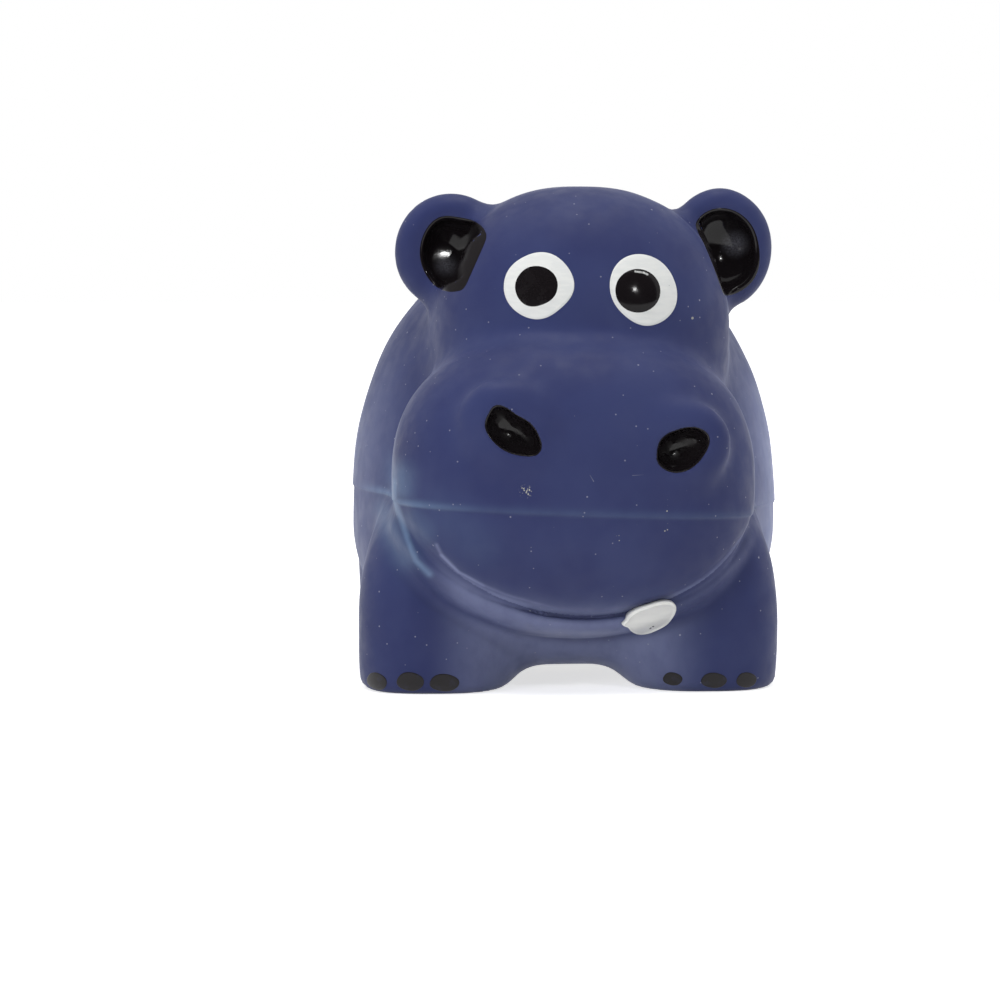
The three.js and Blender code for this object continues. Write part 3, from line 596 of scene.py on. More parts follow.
def cut_and_join(piece, steps):
    """Takes other closed meshes from a piece or adds them to it, in order, and removes them."""
    for operation, other in steps:
        modifier = piece.modifiers.new(operation.lower(), "BOOLEAN")
        modifier.operation = operation
        modifier.object = other
        modifier.solver = "MANIFOLD"
    bpy.context.view_layer.update()
    evaluated = piece.evaluated_get(bpy.context.evaluated_depsgraph_get())
    made = bpy.data.meshes.new_from_object(evaluated)
    made.name = piece.name
    piece.modifiers.clear()
    piece.data = made
    for _, other in steps:
        bpy.data.objects.remove(other)
    return piece


def rounded(profile, radius, steps=4):
    """A closed profile of radius and height pairs with each corner off the axis rounded by an arc."""
    corners = np.asarray(profile, float)
    out = []
    for before, corner, after in zip(np.roll(corners, 1, axis=0), corners, np.roll(corners, -1, axis=0)):
        if corner[0] < EPS:
            out.append(corner)
            continue
        to_before = (before - corner) / np.linalg.norm(before - corner)
        to_after = (after - corner) / np.linalg.norm(after - corner)
        half_angle = math.acos(np.clip(to_before @ to_after, -1.0, 1.0)) / 2.0
        cut = radius / math.tan(half_angle)
        bisector = (to_before + to_after) / np.linalg.norm(to_before + to_after)
        centre = corner + bisector * radius / math.sin(half_angle)
        start = corner + to_before * cut - centre
        end = corner + to_after * cut - centre
        shares = np.linspace(0.0, 1.0, steps + 1)[:, None]
        arc = start * (1.0 - shares) + end * shares
        arc *= radius / np.linalg.norm(arc, axis=1)[:, None]
        out.extend(centre + arc)
    return np.array(out)


def turned(name, profile, middle, material, sectors=96, sharp=math.radians(60.0)):
    """A closed profile of radius and height pairs, in millimetres, carried once round an upright axis. Pairs
    on the axis become one point."""
    profile = np.asarray(profile, float)
    angles = np.linspace(0.0, 2.0 * math.pi, sectors, endpoint=False)
    points = np.stack([
        middle[0] + np.outer(profile[:, 0], np.cos(angles)),
        middle[1] + np.outer(profile[:, 0], np.sin(angles)),
        np.repeat(profile[:, 1:], sectors, axis=1),
    ], axis=-1)
    numbers = np.arange(points.shape[0] * sectors).reshape(-1, sectors)
    on_axis = profile[:, 0] < EPS
    numbers[on_axis] = numbers[on_axis][:, :1]
    following = np.roll(numbers, -1, axis=0)
    quads = np.stack([
        numbers, np.roll(numbers, -1, axis=1), np.roll(following, -1, axis=1), following,
    ], axis=-1)
    both_on_axis = on_axis & np.roll(on_axis, -1)
    quads = quads[~both_on_axis].reshape(-1, 4)
    top_flat = quads[:, 0] == quads[:, 1]
    end_flat = quads[:, 2] == quads[:, 3]
    whole = quads[~top_flat & ~end_flat]
    triangles = np.concatenate([quads[top_flat][:, [0, 2, 3]], quads[end_flat][:, [0, 1, 2]]])
    points, whole, triangles = without_strays(points.reshape(-1, 3), whole, triangles)
    piece = mesh_object(name, points, [whole, triangles], material, sharp)
    face_outwards(piece)
    return piece


def without_strays(points, *faces):
    """Drops the points that no face uses, and numbers the faces' corners anew."""
    used = np.zeros(len(points), bool)
    for part in faces:
        used[part.ravel()] = True
    number = np.cumsum(used) - 1
    return points[used], *[number[part] for part in faces]


def face_outwards(piece):
    """Turns the whole closed mesh inside out if its volume comes out negative."""
    mesh = piece.data
    mesh.calc_loop_triangles()
    corners = np.zeros(len(mesh.loop_triangles) * 3, np.int32)
    mesh.loop_triangles.foreach_get("vertices", corners)
    points = np.zeros(len(mesh.vertices) * 3, np.float32)
    mesh.vertices.foreach_get("co", points)
    a, b, c = np.moveaxis(points.reshape(-1, 3).astype(float)[corners.reshape(-1, 3)], 1, 0)
    if np.einsum("ij,ij->i", a, np.cross(b, c)).sum() < 0.0:
        mesh.flip_normals()


# A film's lower face lies this deep in the piece under it, and its chord is rounded off by the blend.

FILM_SUNK = 0.12
CHORD_END = 0.05
CHORD_BLEND = 0.12


def film(
    name, form, middle, half, tilt, shares, thickness, material, rings=26, sectors=120,
    drip=None, chord=None, pool=None, depth=None,
):
    """A film of enamel inside a closed outline of the front view, with a bell-shaped drip on it if one is
    given by angle, share and width, and cut off along a chord given by angle and share. Rings from the
    middle to the outline are drawn straight back onto the form. The upper face stands over the form by
    thickness at each share of the way out, and fills a pool if one is given. The lower one lies a little
    under the form, or a given depth straight behind it, and both meet at the outline."""
    angles = np.linspace(0.0, 2.0 * math.pi, sectors, endpoint=False)
    reach = outline(shares, angles)
    if drip is not None:
        reach = reach + drip[1] * np.exp(-((angles - drip[0]) / drip[2]) ** 2)
    if chord is not None:
        to_chord = chord[1] / np.maximum(np.cos(angles - chord[0]), CHORD_END)
        reach = soft_min(reach, to_chord, CHORD_BLEND)
    ring_shares = np.sin(np.linspace(0.0, math.pi / 2.0, rings + 1))[1:]
    along = np.outer(ring_shares, half[0] * reach * np.cos(angles))
    up = np.outer(ring_shares, half[1] * reach * np.sin(angles))
    x = np.append(middle[0], middle[0] + along * math.cos(tilt) - up * math.sin(tilt))
    z = np.append(middle[1], middle[1] + along * math.sin(tilt) + up * math.cos(tilt))
    base = meet(form, x, z, FRONT)
    normal = slopes(form, base)
    normal /= np.linalg.norm(normal, axis=1)[:, None]
    share = np.append(0.0, np.repeat(ring_shares, sectors))
    under = base - normal * FILM_SUNK if depth is None else base + np.array([0.0, depth, 0.0])
    top = np.where((share < 1.0)[:, None], base + normal * thickness(share)[:, None], under)
    if pool is not None:
        top[:, 1] = soft_min(top[:, 1], pool_surface(form, pool, top[:, 0], top[:, 2]), POOL_BLEND)
    bottom = under[:-sectors]
    points = np.concatenate([top, bottom])
    upper = np.arange(rings * sectors).reshape(rings, sectors) + 1
    lower = np.concatenate([upper[:-1] + len(top), upper[-1:]])
    triangles, quads = disc_faces(0, upper)
    under_triangles, under_quads = disc_faces(len(top), lower)
    piece = mesh_object(name, points, [
        np.concatenate([triangles, under_triangles[:, ::-1]]),
        np.concatenate([quads, under_quads[:, ::-1]]),
    ], material)
    face_outwards(piece)
    return piece


Pool = namedtuple("Pool", "middle lift slope_across slope_up round_across round_up")
POOL_BLEND = 0.12


def pool_surface(form, pool, x, z):
    """Depth of the shallow bowl that enamel pooled in a dish dries to: a leaning plane over the form, curved
    by the square of the distance across and up, each over twice its radius."""
    bed = meet(form, np.array([pool.middle[0]]), np.array([pool.middle[1]]), FRONT)[0, 1]
    across, up = x - pool.middle[0], z - pool.middle[1]
    lean = pool.slope_across * across + pool.slope_up * up
    level = bed - pool.lift + lean
    return level - across ** 2 / (2.0 * pool.round_across) - up ** 2 / (2.0 * pool.round_up)


def disc_faces(centre, rings):
    """Triangles round a centre point and quads between the rings outside it."""
    following = np.roll(rings, -1, axis=1)
    triangles = np.stack([np.full(rings.shape[1], centre), rings[0], following[0]], axis=1)
    quads = np.stack([rings[:-1], rings[1:], following[1:], following[:-1]], axis=-1).reshape(-1, 4)
    return triangles, quads


def add_node(tree, kind, settings=None, values=None, links=None):
    """Adds a node with its settings, input values and links from other nodes' outputs."""
    node = tree.nodes.new(kind)
    for name, value in (settings or {}).items():
        setattr(node, name, value)
    for name, value in (values or {}).items():
        node.inputs[name].default_value = value
    for name, output in (links or {}).items():
        tree.links.new(output, node.inputs[name])
    return node


def new_material(name):
    """An empty node material with its surface shader and object coordinates."""
    material = bpy.data.materials.new(name)
    material.use_nodes = True
    tree = material.node_tree
    tree.nodes.clear()
    shader = add_node(tree, "ShaderNodeBsdfPrincipled")
    add_node(tree, "ShaderNodeOutputMaterial", links={"Surface": shader.outputs["BSDF"]})
    place = add_node(tree, "ShaderNodeTexCoord").outputs["Object"]
    return material, tree, shader, place


def fill_socket(tree, socket, value):
    """Links an output to a socket, or sets a plain value there."""
    if isinstance(value, bpy.types.NodeSocket):
        tree.links.new(value, socket)
    else:
        socket.default_value = value


def fill_shader(tree, shader, inputs):
    """Fills a shader's sockets by name, each with an output or a plain value."""
    for name, value in inputs.items():
        fill_socket(tree, shader.inputs[name], value)


# Patterns of the materials, with real sizes in millimetres. A grain is a noise with a size, a detail and a
# stretch along X, Y and Z. Specks have a spacing, a radius, the share of cells that hold one and a strength.

Grain = namedtuple("Grain", "size detail stretch", defaults=((1.0, 1.0, 1.0),))
Specks = namedtuple("Specks", "spacing radius share strength", defaults=(1.0,))

MOTTLE = Grain(16.0, 3.0)
RUBBING = Grain(2.5, 4.0, (1.0, 1.0, 1.6))
DULLNESS = Grain(3.0, 4.0)
LATEX_GRAIN = Grain(0.9, 3.0)
BRUSH_STROKES = Grain(0.7, 2.0, (4.0, 4.0, 1.0))
BLOTCHES = Grain(1.8, 4.0)
GRIT = Grain(0.3, 2.0)
WRINKLES = Grain(0.9, 3.0)
CLAW_WEAR = Grain(1.4, 3.0)
CLAW_GRAIN = Grain(0.5, 3.0)
FLOW_LINES = Grain(3.0, 3.0, (1.0, 1.0, 3.0))
PLASTIC_GRAIN = Grain(0.4, 2.0)
ROLLING_LINES = Grain(0.08, 2.0, (1.0, 1.0, 20.0))
TARNISH = Grain(1.5, 3.0)
STRANDS = Grain(0.6, 5.0, (1.0, 4.0, 1.0))

LATEX_GRAIN_DEEP = 0.02
STROKE_DEEP = 0.02
CLAW_GRAIN_DEEP = 0.03
PLASTIC_GRAIN_DEEP = 0.01
ROLLING_DEEP = 0.004
STRAND_DEEP = 0.3

LINT = Specks(4.2, 0.22, 0.4, 0.55)
FINE_LINT = Specks(1.7, 0.17, 0.4, 0.4)
PAINT_DIRT = Specks(2.2, 0.12, 0.12, 0.6)
PAINT_DUST = Specks(1.2, 0.08, 0.25, 0.35)


def noise(tree, place, grain):
    """Noise between 0 and 1 whose features have the grain's real size, drawn out by its stretch."""
    values = {"Scale": tuple(1.0 / (grain.size * MM * part) for part in grain.stretch)}
    scaled = add_node(tree, "ShaderNodeMapping", {"vector_type": "POINT"}, values, {"Vector": place})
    values = {"Scale": 1.0, "Detail": grain.detail}
    texture = add_node(tree, "ShaderNodeTexNoise", values=values, links={"Vector": scaled.outputs["Vector"]})
    return texture.outputs["Fac"]


def ramp(tree, value, low, high, to_low=0.0, to_high=1.0):
    """Maps a value from one range to another by a smooth step, held at the ends."""
    node = add_node(tree, "ShaderNodeMapRange", {"interpolation_type": "SMOOTHSTEP"}, {
        "From Min": low, "From Max": high, "To Min": to_low, "To Max": to_high,
    }, {"Value": value})
    return node.outputs["Result"]


def math_node(tree, operation, first, second):
    """Two values or outputs joined by a sum, product or the like."""
    node = add_node(tree, "ShaderNodeMath", {"operation": operation})
    fill_socket(tree, node.inputs[0], first)
    fill_socket(tree, node.inputs[1], second)
    return node.outputs["Value"]


# Numbers of a mix node's colour sockets, whose names its other kinds share.

MIX_FIRST = 6
MIX_SECOND = 7
MIX_RESULT = 2


def mix_colours(tree, share, first, second):
    """Blend of two colours, each a linear colour or an output."""
    node = add_node(tree, "ShaderNodeMix", {"data_type": "RGBA"}, links={"Factor": share})
    for number, value in ((MIX_FIRST, first), (MIX_SECOND, second)):
        is_output = isinstance(value, bpy.types.NodeSocket)
        fill_socket(tree, node.inputs[number], value if is_output else rgba(value))
    return node.outputs[MIX_RESULT]


def bump(tree, height, depth_mm, strength):
    """Bump from a height between 0 and 1 that stands for a real depth."""
    values = {"Strength": strength, "Distance": depth_mm * MM}
    return add_node(tree, "ShaderNodeBump", values=values, links={"Height": height}).outputs["Normal"]


def specks(tree, place, pattern):
    """Mask of round dots, one to a cell at most, that sit in a share of the cells."""
    scale = 1.0 / (pattern.spacing * MM)
    cells = add_node(tree, "ShaderNodeTexVoronoi", values={"Scale": scale}, links={"Vector": place})
    edge = pattern.radius / pattern.spacing
    dot = ramp(tree, cells.outputs["Distance"], edge, edge / 2.0)
    hue = add_node(tree, "ShaderNodeSeparateColor", links={"Color": cells.outputs["Color"]})
    chosen = math_node(tree, "LESS_THAN", hue.outputs["Red"], pattern.share)
    return math_node(tree, "MULTIPLY", dot, chosen)


def dotted(tree, place, colour, pattern, dot_colour):
    """A colour under a pattern of faint dots of another."""
    mask = math_node(tree, "MULTIPLY", specks(tree, place, pattern), pattern.strength)
    return mix_colours(tree, mask, colour, dot_colour)


def near_point(tree, place, point_mm, inner_mm, outer_mm):
    """Mask that falls from 1 inside an inner radius of a point to 0 at an outer one."""
    point = tuple(part * MM for part in point_mm)
    away = add_node(tree, "ShaderNodeVectorMath", {"operation": "DISTANCE"}, {1: point}, {0: place})
    return ramp(tree, away.outputs["Value"], outer_mm * MM, inner_mm * MM)


# Crumbs caught on the latex: middle, inner and outer radius of the spot, and their specks. Hairs and
# scratches run from point to point, and fade between two shares of their half width.

CRUMBS = (
    ((-9.2, -55.0, 35.1), 0.5, 1.3, Specks(0.31, 0.15, 0.75)),
    ((19.7, -34.2, 62.9), 0.18, 0.3, Specks(0.7, 0.6, 1.0)),
    ((14.0, -53.1, 31.7), 0.3, 1.1, Specks(0.6, 0.16, 0.6)),
    ((14.1, -52.8, 28.6), 0.3, 1.2, Specks(0.7, 0.16, 0.6)),
    ((6.0, -54.1, 27.1), 0.3, 0.9, Specks(0.6, 0.14, 0.6)),
)
HAIRS = (
    ((1.2, -55.0, 37.7), (1.8, -55.0, 36.7)),
    ((-3.9, -52.5, 20.8), (-2.8, -52.9, 21.7)),
    ((8.2, -54.6, 37.6), (10.0, -54.4, 37.7)),
)
HAIR_HALF_WIDTH = 0.09
HAIR_STRENGTH = 0.6
HAIR_FULL = 0.5
HAIR_GONE = 1.6


def hair(tree, place, start_mm, end_mm, half_width_mm=HAIR_HALF_WIDTH):
    """Mask of a thin straight line: the distance to the nearest point between its two ends."""
    start = Vector(start_mm) * MM
    run = Vector(end_mm) * MM - start
    away = add_node(tree, "ShaderNodeVectorMath", {"operation": "SUBTRACT"}, {1: start}, {0: place})
    along = add_node(
        tree, "ShaderNodeVectorMath", {"operation": "DOT_PRODUCT"}, {1: run / run.length_squared},
        {0: away.outputs["Vector"]},
    )
    held = add_node(tree, "ShaderNodeClamp", links={"Value": along.outputs["Value"]})
    foot = add_node(
        tree, "ShaderNodeVectorMath", {"operation": "SCALE"}, {0: run}, {"Scale": held.outputs["Result"]},
    )
    gap = add_node(
        tree, "ShaderNodeVectorMath", {"operation": "DISTANCE"},
        links={0: away.outputs["Vector"], 1: foot.outputs["Vector"]},
    )
    half_width = half_width_mm * MM
    return ramp(tree, gap.outputs["Value"], HAIR_GONE * half_width, HAIR_FULL * half_width)


def front_view(tree, place):
    """Places with their depth left out, as the front view shows them."""
    values = {"Scale": (1.0, 0.0, 1.0)}
    return add_node(tree, "ShaderNodeMapping", values=values, links={"Vector": place}).outputs["Vector"]


def latex_material(colours):
    """Dip coloured natural latex: a dull, faintly velvety rubber whose dye is thinner where hands rub it,
    with lint caught on it. The sheen is the bloom that pales it at grazing angles. Its pale mark also holds
    painted light: paler flanks for side light, a paler chest for bounce light from the floor, a painted
    highlight on the upper lip's edge and a painted reflection of the floor on the lower lip."""
    material, tree, shader, place = new_material("navy_latex")
    mottle = ramp(tree, noise(tree, place, MOTTLE), 0.35, 0.65)
    colour = mix_colours(tree, mottle, colours.latex, colours.latex_light)
    rubbed = ramp(tree, noise(tree, place, RUBBING), 0.25, 0.6, 0.82, 1.0)
    # The pale mark is partly rubbed dye and partly painted light: side light on the flanks, bounce light on
    # the chest, a highlight on the upper lip's edge and a reflection of the floor on the lower lip.
    for name, worn in (("worn_blue", colours.latex_worn), ("pale_wear_and_painted_light", colours.latex_pale_wear_and_light)):
        mark = add_node(tree, "ShaderNodeAttribute", {"attribute_name": name}).outputs["Fac"]
        colour = mix_colours(tree, math_node(tree, "MULTIPLY", mark, rubbed), colour, worn)
    for pattern in (LINT, FINE_LINT):
        colour = dotted(tree, place, colour, pattern, colours.lint_and_reflection)
    for middle, inner, outer, pattern in CRUMBS:
        spot = near_point(tree, place, middle, inner, outer)
        crumbs = math_node(tree, "MULTIPLY", spot, specks(tree, place, pattern))
        colour = mix_colours(tree, crumbs, colour, colours.crumb)
    for start, end in HAIRS:
        streak = math_node(tree, "MULTIPLY", hair(tree, place, start, end), HAIR_STRENGTH)
        colour = mix_colours(tree, streak, colour, colours.lint_and_reflection)
    fill_shader(tree, shader, {
        "Base Color": colour,
        "Roughness": ramp(tree, noise(tree, place, DULLNESS), 0.3, 0.7, 0.5, 0.62),
        "Normal": bump(tree, noise(tree, place, LATEX_GRAIN), LATEX_GRAIN_DEEP, 0.6),
        "IOR": 1.52,
        "Specular IOR Level": 0.2,
        "Sheen Weight": 0.3,
        "Sheen Roughness": 0.16,
        "Sheen Tint": rgba(colours.grazing_sheen),
    })
    return material


DARK_SPECKS = (
    ((12.1, 0.0, 11.2), (12.2, 0.0, 11.3)),
    ((12.5, 0.0, 11.6), (12.6, 0.0, 11.6)),
)
DARK_SPECK_RADIUS = 0.13


def white_enamel_material(colours, name, shade_low, shade_high):
    """Brushed white enamel: semi-gloss, with faint strokes and a few specks."""
    material, tree, shader, place = new_material(name)
    stroke = ramp(tree, noise(tree, place, BRUSH_STROKES), 0.3, 0.7)
    shade = ramp(tree, stroke, 0.0, 1.0, shade_low, shade_high)
    colour = mix_colours(tree, shade, colours.white, colours.white_shade_and_highlight)
    colour = dotted(tree, place, colour, PAINT_DIRT, colours.claw)
    flat = front_view(tree, place)
    for start, end in DARK_SPECKS:
        speck = hair(tree, flat, start, end, DARK_SPECK_RADIUS)
        colour = mix_colours(tree, speck, colour, colours.claw)
    fill_shader(tree, shader, {
        "Base Color": colour,
        "Normal": bump(tree, stroke, STROKE_DEEP, 0.5),
        "Roughness": 0.38,
        "IOR": 1.5,
    })
    return material


# Places on the black enamel, across and up in the front view in millimetres: walls it ran down and dried dull
# on, a painted highlight along the top rim of the right pupil, and soft spots of painted reflection in the
# ears, with their reach and share.

DULL_WALLS = (
    ((-15.6, 0.0, 77.6), (-17.0, 0.0, 72.4)),
    ((-17.0, 0.0, 72.4), (-20.2, 0.0, 68.0)),
)
WALL_HALF_WIDTH = 1.5
WALL_ROUGHNESS = 0.9
PAINTED_PUPIL_HIGHLIGHT = (
    ((9.8, 0.0, 70.75), (11.3, 0.0, 70.55)),
    ((11.3, 0.0, 70.55), (11.9, 0.0, 70.25)),
)
HIGHLIGHT_HALF_WIDTH = 0.14
PAINTED_REFLECTION_SPOTS = (
    ((29.0, 0.0, 75.6), 3.0, 0.28),
    ((-21.4, 0.0, 71.9), 2.6, 0.16),
)

# Coats of black enamel: name, least and most roughness, depth of the wrinkles and specular level.

Coat = namedtuple("Coat", "name smooth rough wrinkle_deep level")
GLOSSY_PUPIL = Coat("glossy_pupil_enamel", 0.1, 0.16, 0.01, 0.16)
DULL_PUPIL = Coat("dull_pupil_enamel", 0.22, 0.34, 0.03, 0.25)
NOSTRIL_COAT = Coat("lining_enamel", 0.1, 0.4, 0.04, 0.25)
EAR_COAT = Coat("ear_lining_enamel", 0.07, 0.12, 0.015, 0.22)


def black_enamel_material(colours, coat):
    """Thick black enamel: glossy where it flowed, and dulled by wrinkles and dust where it dried thin. It
    carries painted reflections in the ears and a painted highlight on the right pupil's rim.
    """
    material, tree, shader, place = new_material(coat.name)
    blotch = ramp(tree, noise(tree, place, BLOTCHES), 0.4, 0.65)
    colour = dotted(tree, place, colours.black, PAINT_DUST, colours.lint_and_reflection)
    flat = front_view(tree, place)
    grit = ramp(tree, noise(tree, place, GRIT), 0.25, 0.8, 0.35, 1.0)
    # Painted reflections: soft grey spots in the ears, broken up by the grit noise.
    for middle, reach, share in PAINTED_REFLECTION_SPOTS:
        spot = near_point(tree, flat, middle, 0.0, reach)
        spot = math_node(tree, "MULTIPLY", spot, math_node(tree, "MULTIPLY", grit, share))
        colour = mix_colours(tree, spot, colour, colours.lint_and_reflection)
    # Painted highlight: a pale arc along the top rim of the right pupil.
    for start, end in PAINTED_PUPIL_HIGHLIGHT:
        painted_highlight = math_node(tree, "MULTIPLY", hair(tree, flat, start, end, HIGHLIGHT_HALF_WIDTH), grit)
        colour = mix_colours(tree, painted_highlight, colour, colours.white_shade_and_highlight)
    rough = ramp(tree, blotch, 0.0, 1.0, coat.smooth, coat.rough)
    for start, end in DULL_WALLS:
        wall = hair(tree, flat, start, end, WALL_HALF_WIDTH)
        rough = math_node(tree, "MAXIMUM", rough, math_node(tree, "MULTIPLY", wall, WALL_ROUGHNESS))
    fill_shader(tree, shader, {
        "Base Color": colour,
        "Roughness": rough,
        "Normal": bump(tree, noise(tree, place, WRINKLES), coat.wrinkle_deep, 0.7),
        "IOR": 1.5,
        "Specular IOR Level": coat.level,
    })
    return material


def claw_enamel_material(colours):
    """Thin charcoal enamel, dull, with the latex showing through at worn places."""
    material, tree, shader, place = new_material("claw_enamel")
    worn = ramp(tree, noise(tree, place, CLAW_WEAR), 0.52, 0.7, 0.0, 0.5)
    fill_shader(tree, shader, {
        "Base Color": mix_colours(tree, worn, colours.claw, colours.claw_worn),
        "Normal": bump(tree, noise(tree, place, CLAW_GRAIN), CLAW_GRAIN_DEEP, 0.6),
        "Roughness": 0.45,
        "IOR": 1.5,
        "Specular IOR Level": 0.3,
    })
    return material


def squeaker_plastic_material(colours):
    """Moulded natural polyethylene: milky, waxy, with faint flow lines."""
    material, tree, shader, place = new_material("squeaker_plastic")
    flow = ramp(tree, noise(tree, place, FLOW_LINES), 0.35, 0.65)
    fill_shader(tree, shader, {
        "Base Color": mix_colours(tree, flow, colours.plastic, colours.plastic_shade),
        "Normal": bump(tree, noise(tree, place, PLASTIC_GRAIN), PLASTIC_GRAIN_DEEP, 0.5),
        "Roughness": 0.4,
        "IOR": 1.51,
    })
    return material


def reed_brass_material(colours):
    """Rolled brass strip: fine lines along its length."""
    material, tree, shader, place = new_material("rolled_brass")
    lines = noise(tree, place, ROLLING_LINES)
    tarnish = ramp(tree, noise(tree, place, TARNISH), 0.45, 0.7)
    fill_shader(tree, shader, {
        "Base Color": mix_colours(tree, tarnish, colours.brass, colours.brass_dull),
        "Roughness": ramp(tree, lines, 0.3, 0.7, 0.22, 0.36),
        "Normal": bump(tree, lines, ROLLING_DEEP, 0.6),
        "Metallic": 1.0,
    })
    return material


def fibre_material(colours):
    """Loose polyester filling: white tangled fibre, drawn coarser than its 0.03 mm threads to show."""
    material, tree, shader, place = new_material("polyester_fibre")
    strands = noise(tree, place, STRANDS)
    fill_shader(tree, shader, {
        "Base Color": mix_colours(tree, strands, colours.fibre, colours.fibre_shade),
        "Normal": bump(tree, strands, STRAND_DEEP, 0.8),
        "Roughness": 0.9,
        "Sheen Weight": 0.5,
        "Sheen Roughness": 0.5,
    })
    return material


def colour_property(name, description, code):
    return FloatVectorProperty(
        name=name, description=description, subtype="COLOR", size=3, min=0.0, max=1.0, default=linear(code),
    )


def length_property(name, description, default_mm):
    return FloatProperty(name=name, description=description, default=default_mm * MM, min=0.0, unit="LENGTH")


class HIPPO_PG_skin(PropertyGroup):
    """Sizes of the latex moulding."""

    wall: length_property("Wall", "Thickness of the latex", 2.5)
    seam_step: length_property("Seam step", "How far the upper mould half stands over the lower one", 0.3)
    seam_ridge: length_property("Seam ridge", "Height of the flash along the parting line", 0.1)
    waviness: length_property("Waviness", "Half the unevenness of the casting", 0.08)
    coarse: length_property("Coarse edge", "Edge of the mesh on plain stretches", 1.3)
    fine: length_property("Fine edge", "Edge of the mesh along the mouth, the seam and the paint", 0.42)


class HIPPO_PG_enamel(PropertyGroup):
    """Thicknesses of the hand painted enamel."""

    eye_white: length_property("Eye white", "Thickness of the white of an eye", 0.12)
    flat_pupil: length_property("Flat pupil", "Height of the left pupil's drop over the white", 0.16)
    round_pupil: length_property("Round pupil", "Height of the right pupil's drop over the white", 0.6)
    tooth: length_property("Tooth", "Thickness of the tooth's enamel", 0.35)
    lining: length_property("Lining", "Thickness in the ears and nostrils", 0.08)
    claw: length_property("Claw", "Thickness of a claw's enamel", 0.1)


class HIPPO_PG_squeaker(PropertyGroup):
    """Sizes of the squeaker."""

    case_wall: length_property("Case wall", "Wall of the squeaker's cup", 1.1)
    edge_radius: length_property("Edge radius", "Radius on moulded edges", 0.18)
    reed_edge: length_property("Reed edge", "Bevel on the reed's edges", 0.05)


class HIPPO_PG_colours(PropertyGroup):
    """Colours of every finish."""

    latex: colour_property("Latex", "Dyed latex", "#2a3058")
    latex_light: colour_property("Light latex", "Thinner dye in soft patches", "#30375f")
    latex_worn: colour_property("Worn latex", "Rubbed dye at edges and the parting line", "#6a82a2")
    grazing_sheen: colour_property("Bloom", "Sheen of the latex at grazing angles", "#c9d0e6")
    # Rubbed dye on the lips, and also the colour of painted light on the flanks, chest and lips.
    latex_pale_wear_and_light: colour_property("Pale latex", "Rubbed dye on the lips", "#7d84a6")
    # The lint colour is also the colour of the painted reflections in the ears.
    lint_and_reflection: colour_property("Lint", "Pale dust and fibres", "#a9aab8")
    crumb: colour_property("Crumbs", "Yellowish crumbs stuck to the latex", "#b3b2a4")
    white: colour_property("White enamel", "Eyes and tooth", "#e6e6e2")
    # The white shade is also the colour of the painted highlight on the right pupil.
    white_shade_and_highlight: colour_property("White enamel shade", "Thin strokes of white", "#d2d4d3")
    black: colour_property("Black enamel", "Pupils, ears and nostrils", "#151214")
    claw: colour_property("Claw enamel", "Claws", "#171416")
    claw_worn: colour_property("Worn claw", "Thin claw enamel over latex", "#232230")
    plastic: colour_property("Squeaker plastic", "Natural polyethylene", "#e8e6dd")
    plastic_shade: colour_property("Plastic shade", "Flow lines", "#dcd9cd")
    brass: colour_property("Brass", "Reed", "#c8a355")
    brass_dull: colour_property("Dull brass", "Tarnish on the reed", "#9c7c42")
    fibre: colour_property("Fibre", "Polyester filling", "#f2f1ed")
    fibre_shade: colour_property("Fibre shade", "Gaps between strands", "#c9c7c1")
    floor: colour_property("Floor", "Studio floor", "#ececec")


class HIPPO_PG_stage(PropertyGroup):
    """Camera and lamps."""

    azimuth: FloatProperty(
        name="Azimuth", description="Camera's turn about the toy", subtype="ANGLE", default=math.radians(-3.0),
    )
    elevation: FloatProperty(
        name="Elevation", description="Camera's angle over the floor", subtype="ANGLE",
        default=math.radians(2.85),
    )
    distance: FloatProperty(
        name="Distance", description="Camera to the toy's middle", default=0.6007, unit="LENGTH",
    )
    lens: FloatProperty(name="Lens", description="Focal length", default=121.1, unit="CAMERA")
    ambient: FloatProperty(name="Ambient", description="Brightness of the room on the toy", default=0.42)


def squeeze_with(piece, body):
    """Rides a soft piece on a body, and gives it a mesh of its own."""
    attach(piece, body)
    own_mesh(piece)


def box_mm(node):
    """Lowest and highest corner of a CAD node's box, in millimetres."""
    return [np.array(corner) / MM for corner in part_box(node)]


def node_middle(node):
    """Middle of a CAD node in the front view, in millimetres, and its half sizes there."""
    low, high = box_mm(node)
    return (low + high)[[0, 2]] / 2.0, (high - low)[[0, 2]] / 2.0


def skin_outside(sizes):
    """The outer form as a function of points alone."""
    return lambda points: outer_form(points, sizes)


# Mesh of the skin: edges are fine in bands along the parting line and the lips and near the paint, and grow
# away from them by a share of the distance. Lengths are in millimetres.

BOX_MARGIN = 2.0
CAVITY_CELL = 3.0
HALVINGS = 3
SEAM_BAND = 0.4
LIP_BAND_MIDDLE = 2.0
LIP_BAND_HALF = 3.0
EDGE_GROWTH = 0.3
PAINT_EDGE_SHARE = 1.4
LONGEST_EDGE_SHARE = 1.4
SHARP_TURN = math.radians(50.0)
STRIP_SHARP_TURN = math.radians(40.0)

# The squeaker's flange sits in a pocket under the lip round the belly's hole, and its rib over the lip.

FIT_GAP = 0.3
FLANGE_THICK = 1.0
FLANGE_OVER = 2.0
HOLE_LIP_THICK = 2.3
HOLE_LIP_RADIUS = 13.0
HOLE_LIP_OVERLAP = 0.75
HOLE_LIP_ROUND = 0.5
CUT_PAST = 1.0


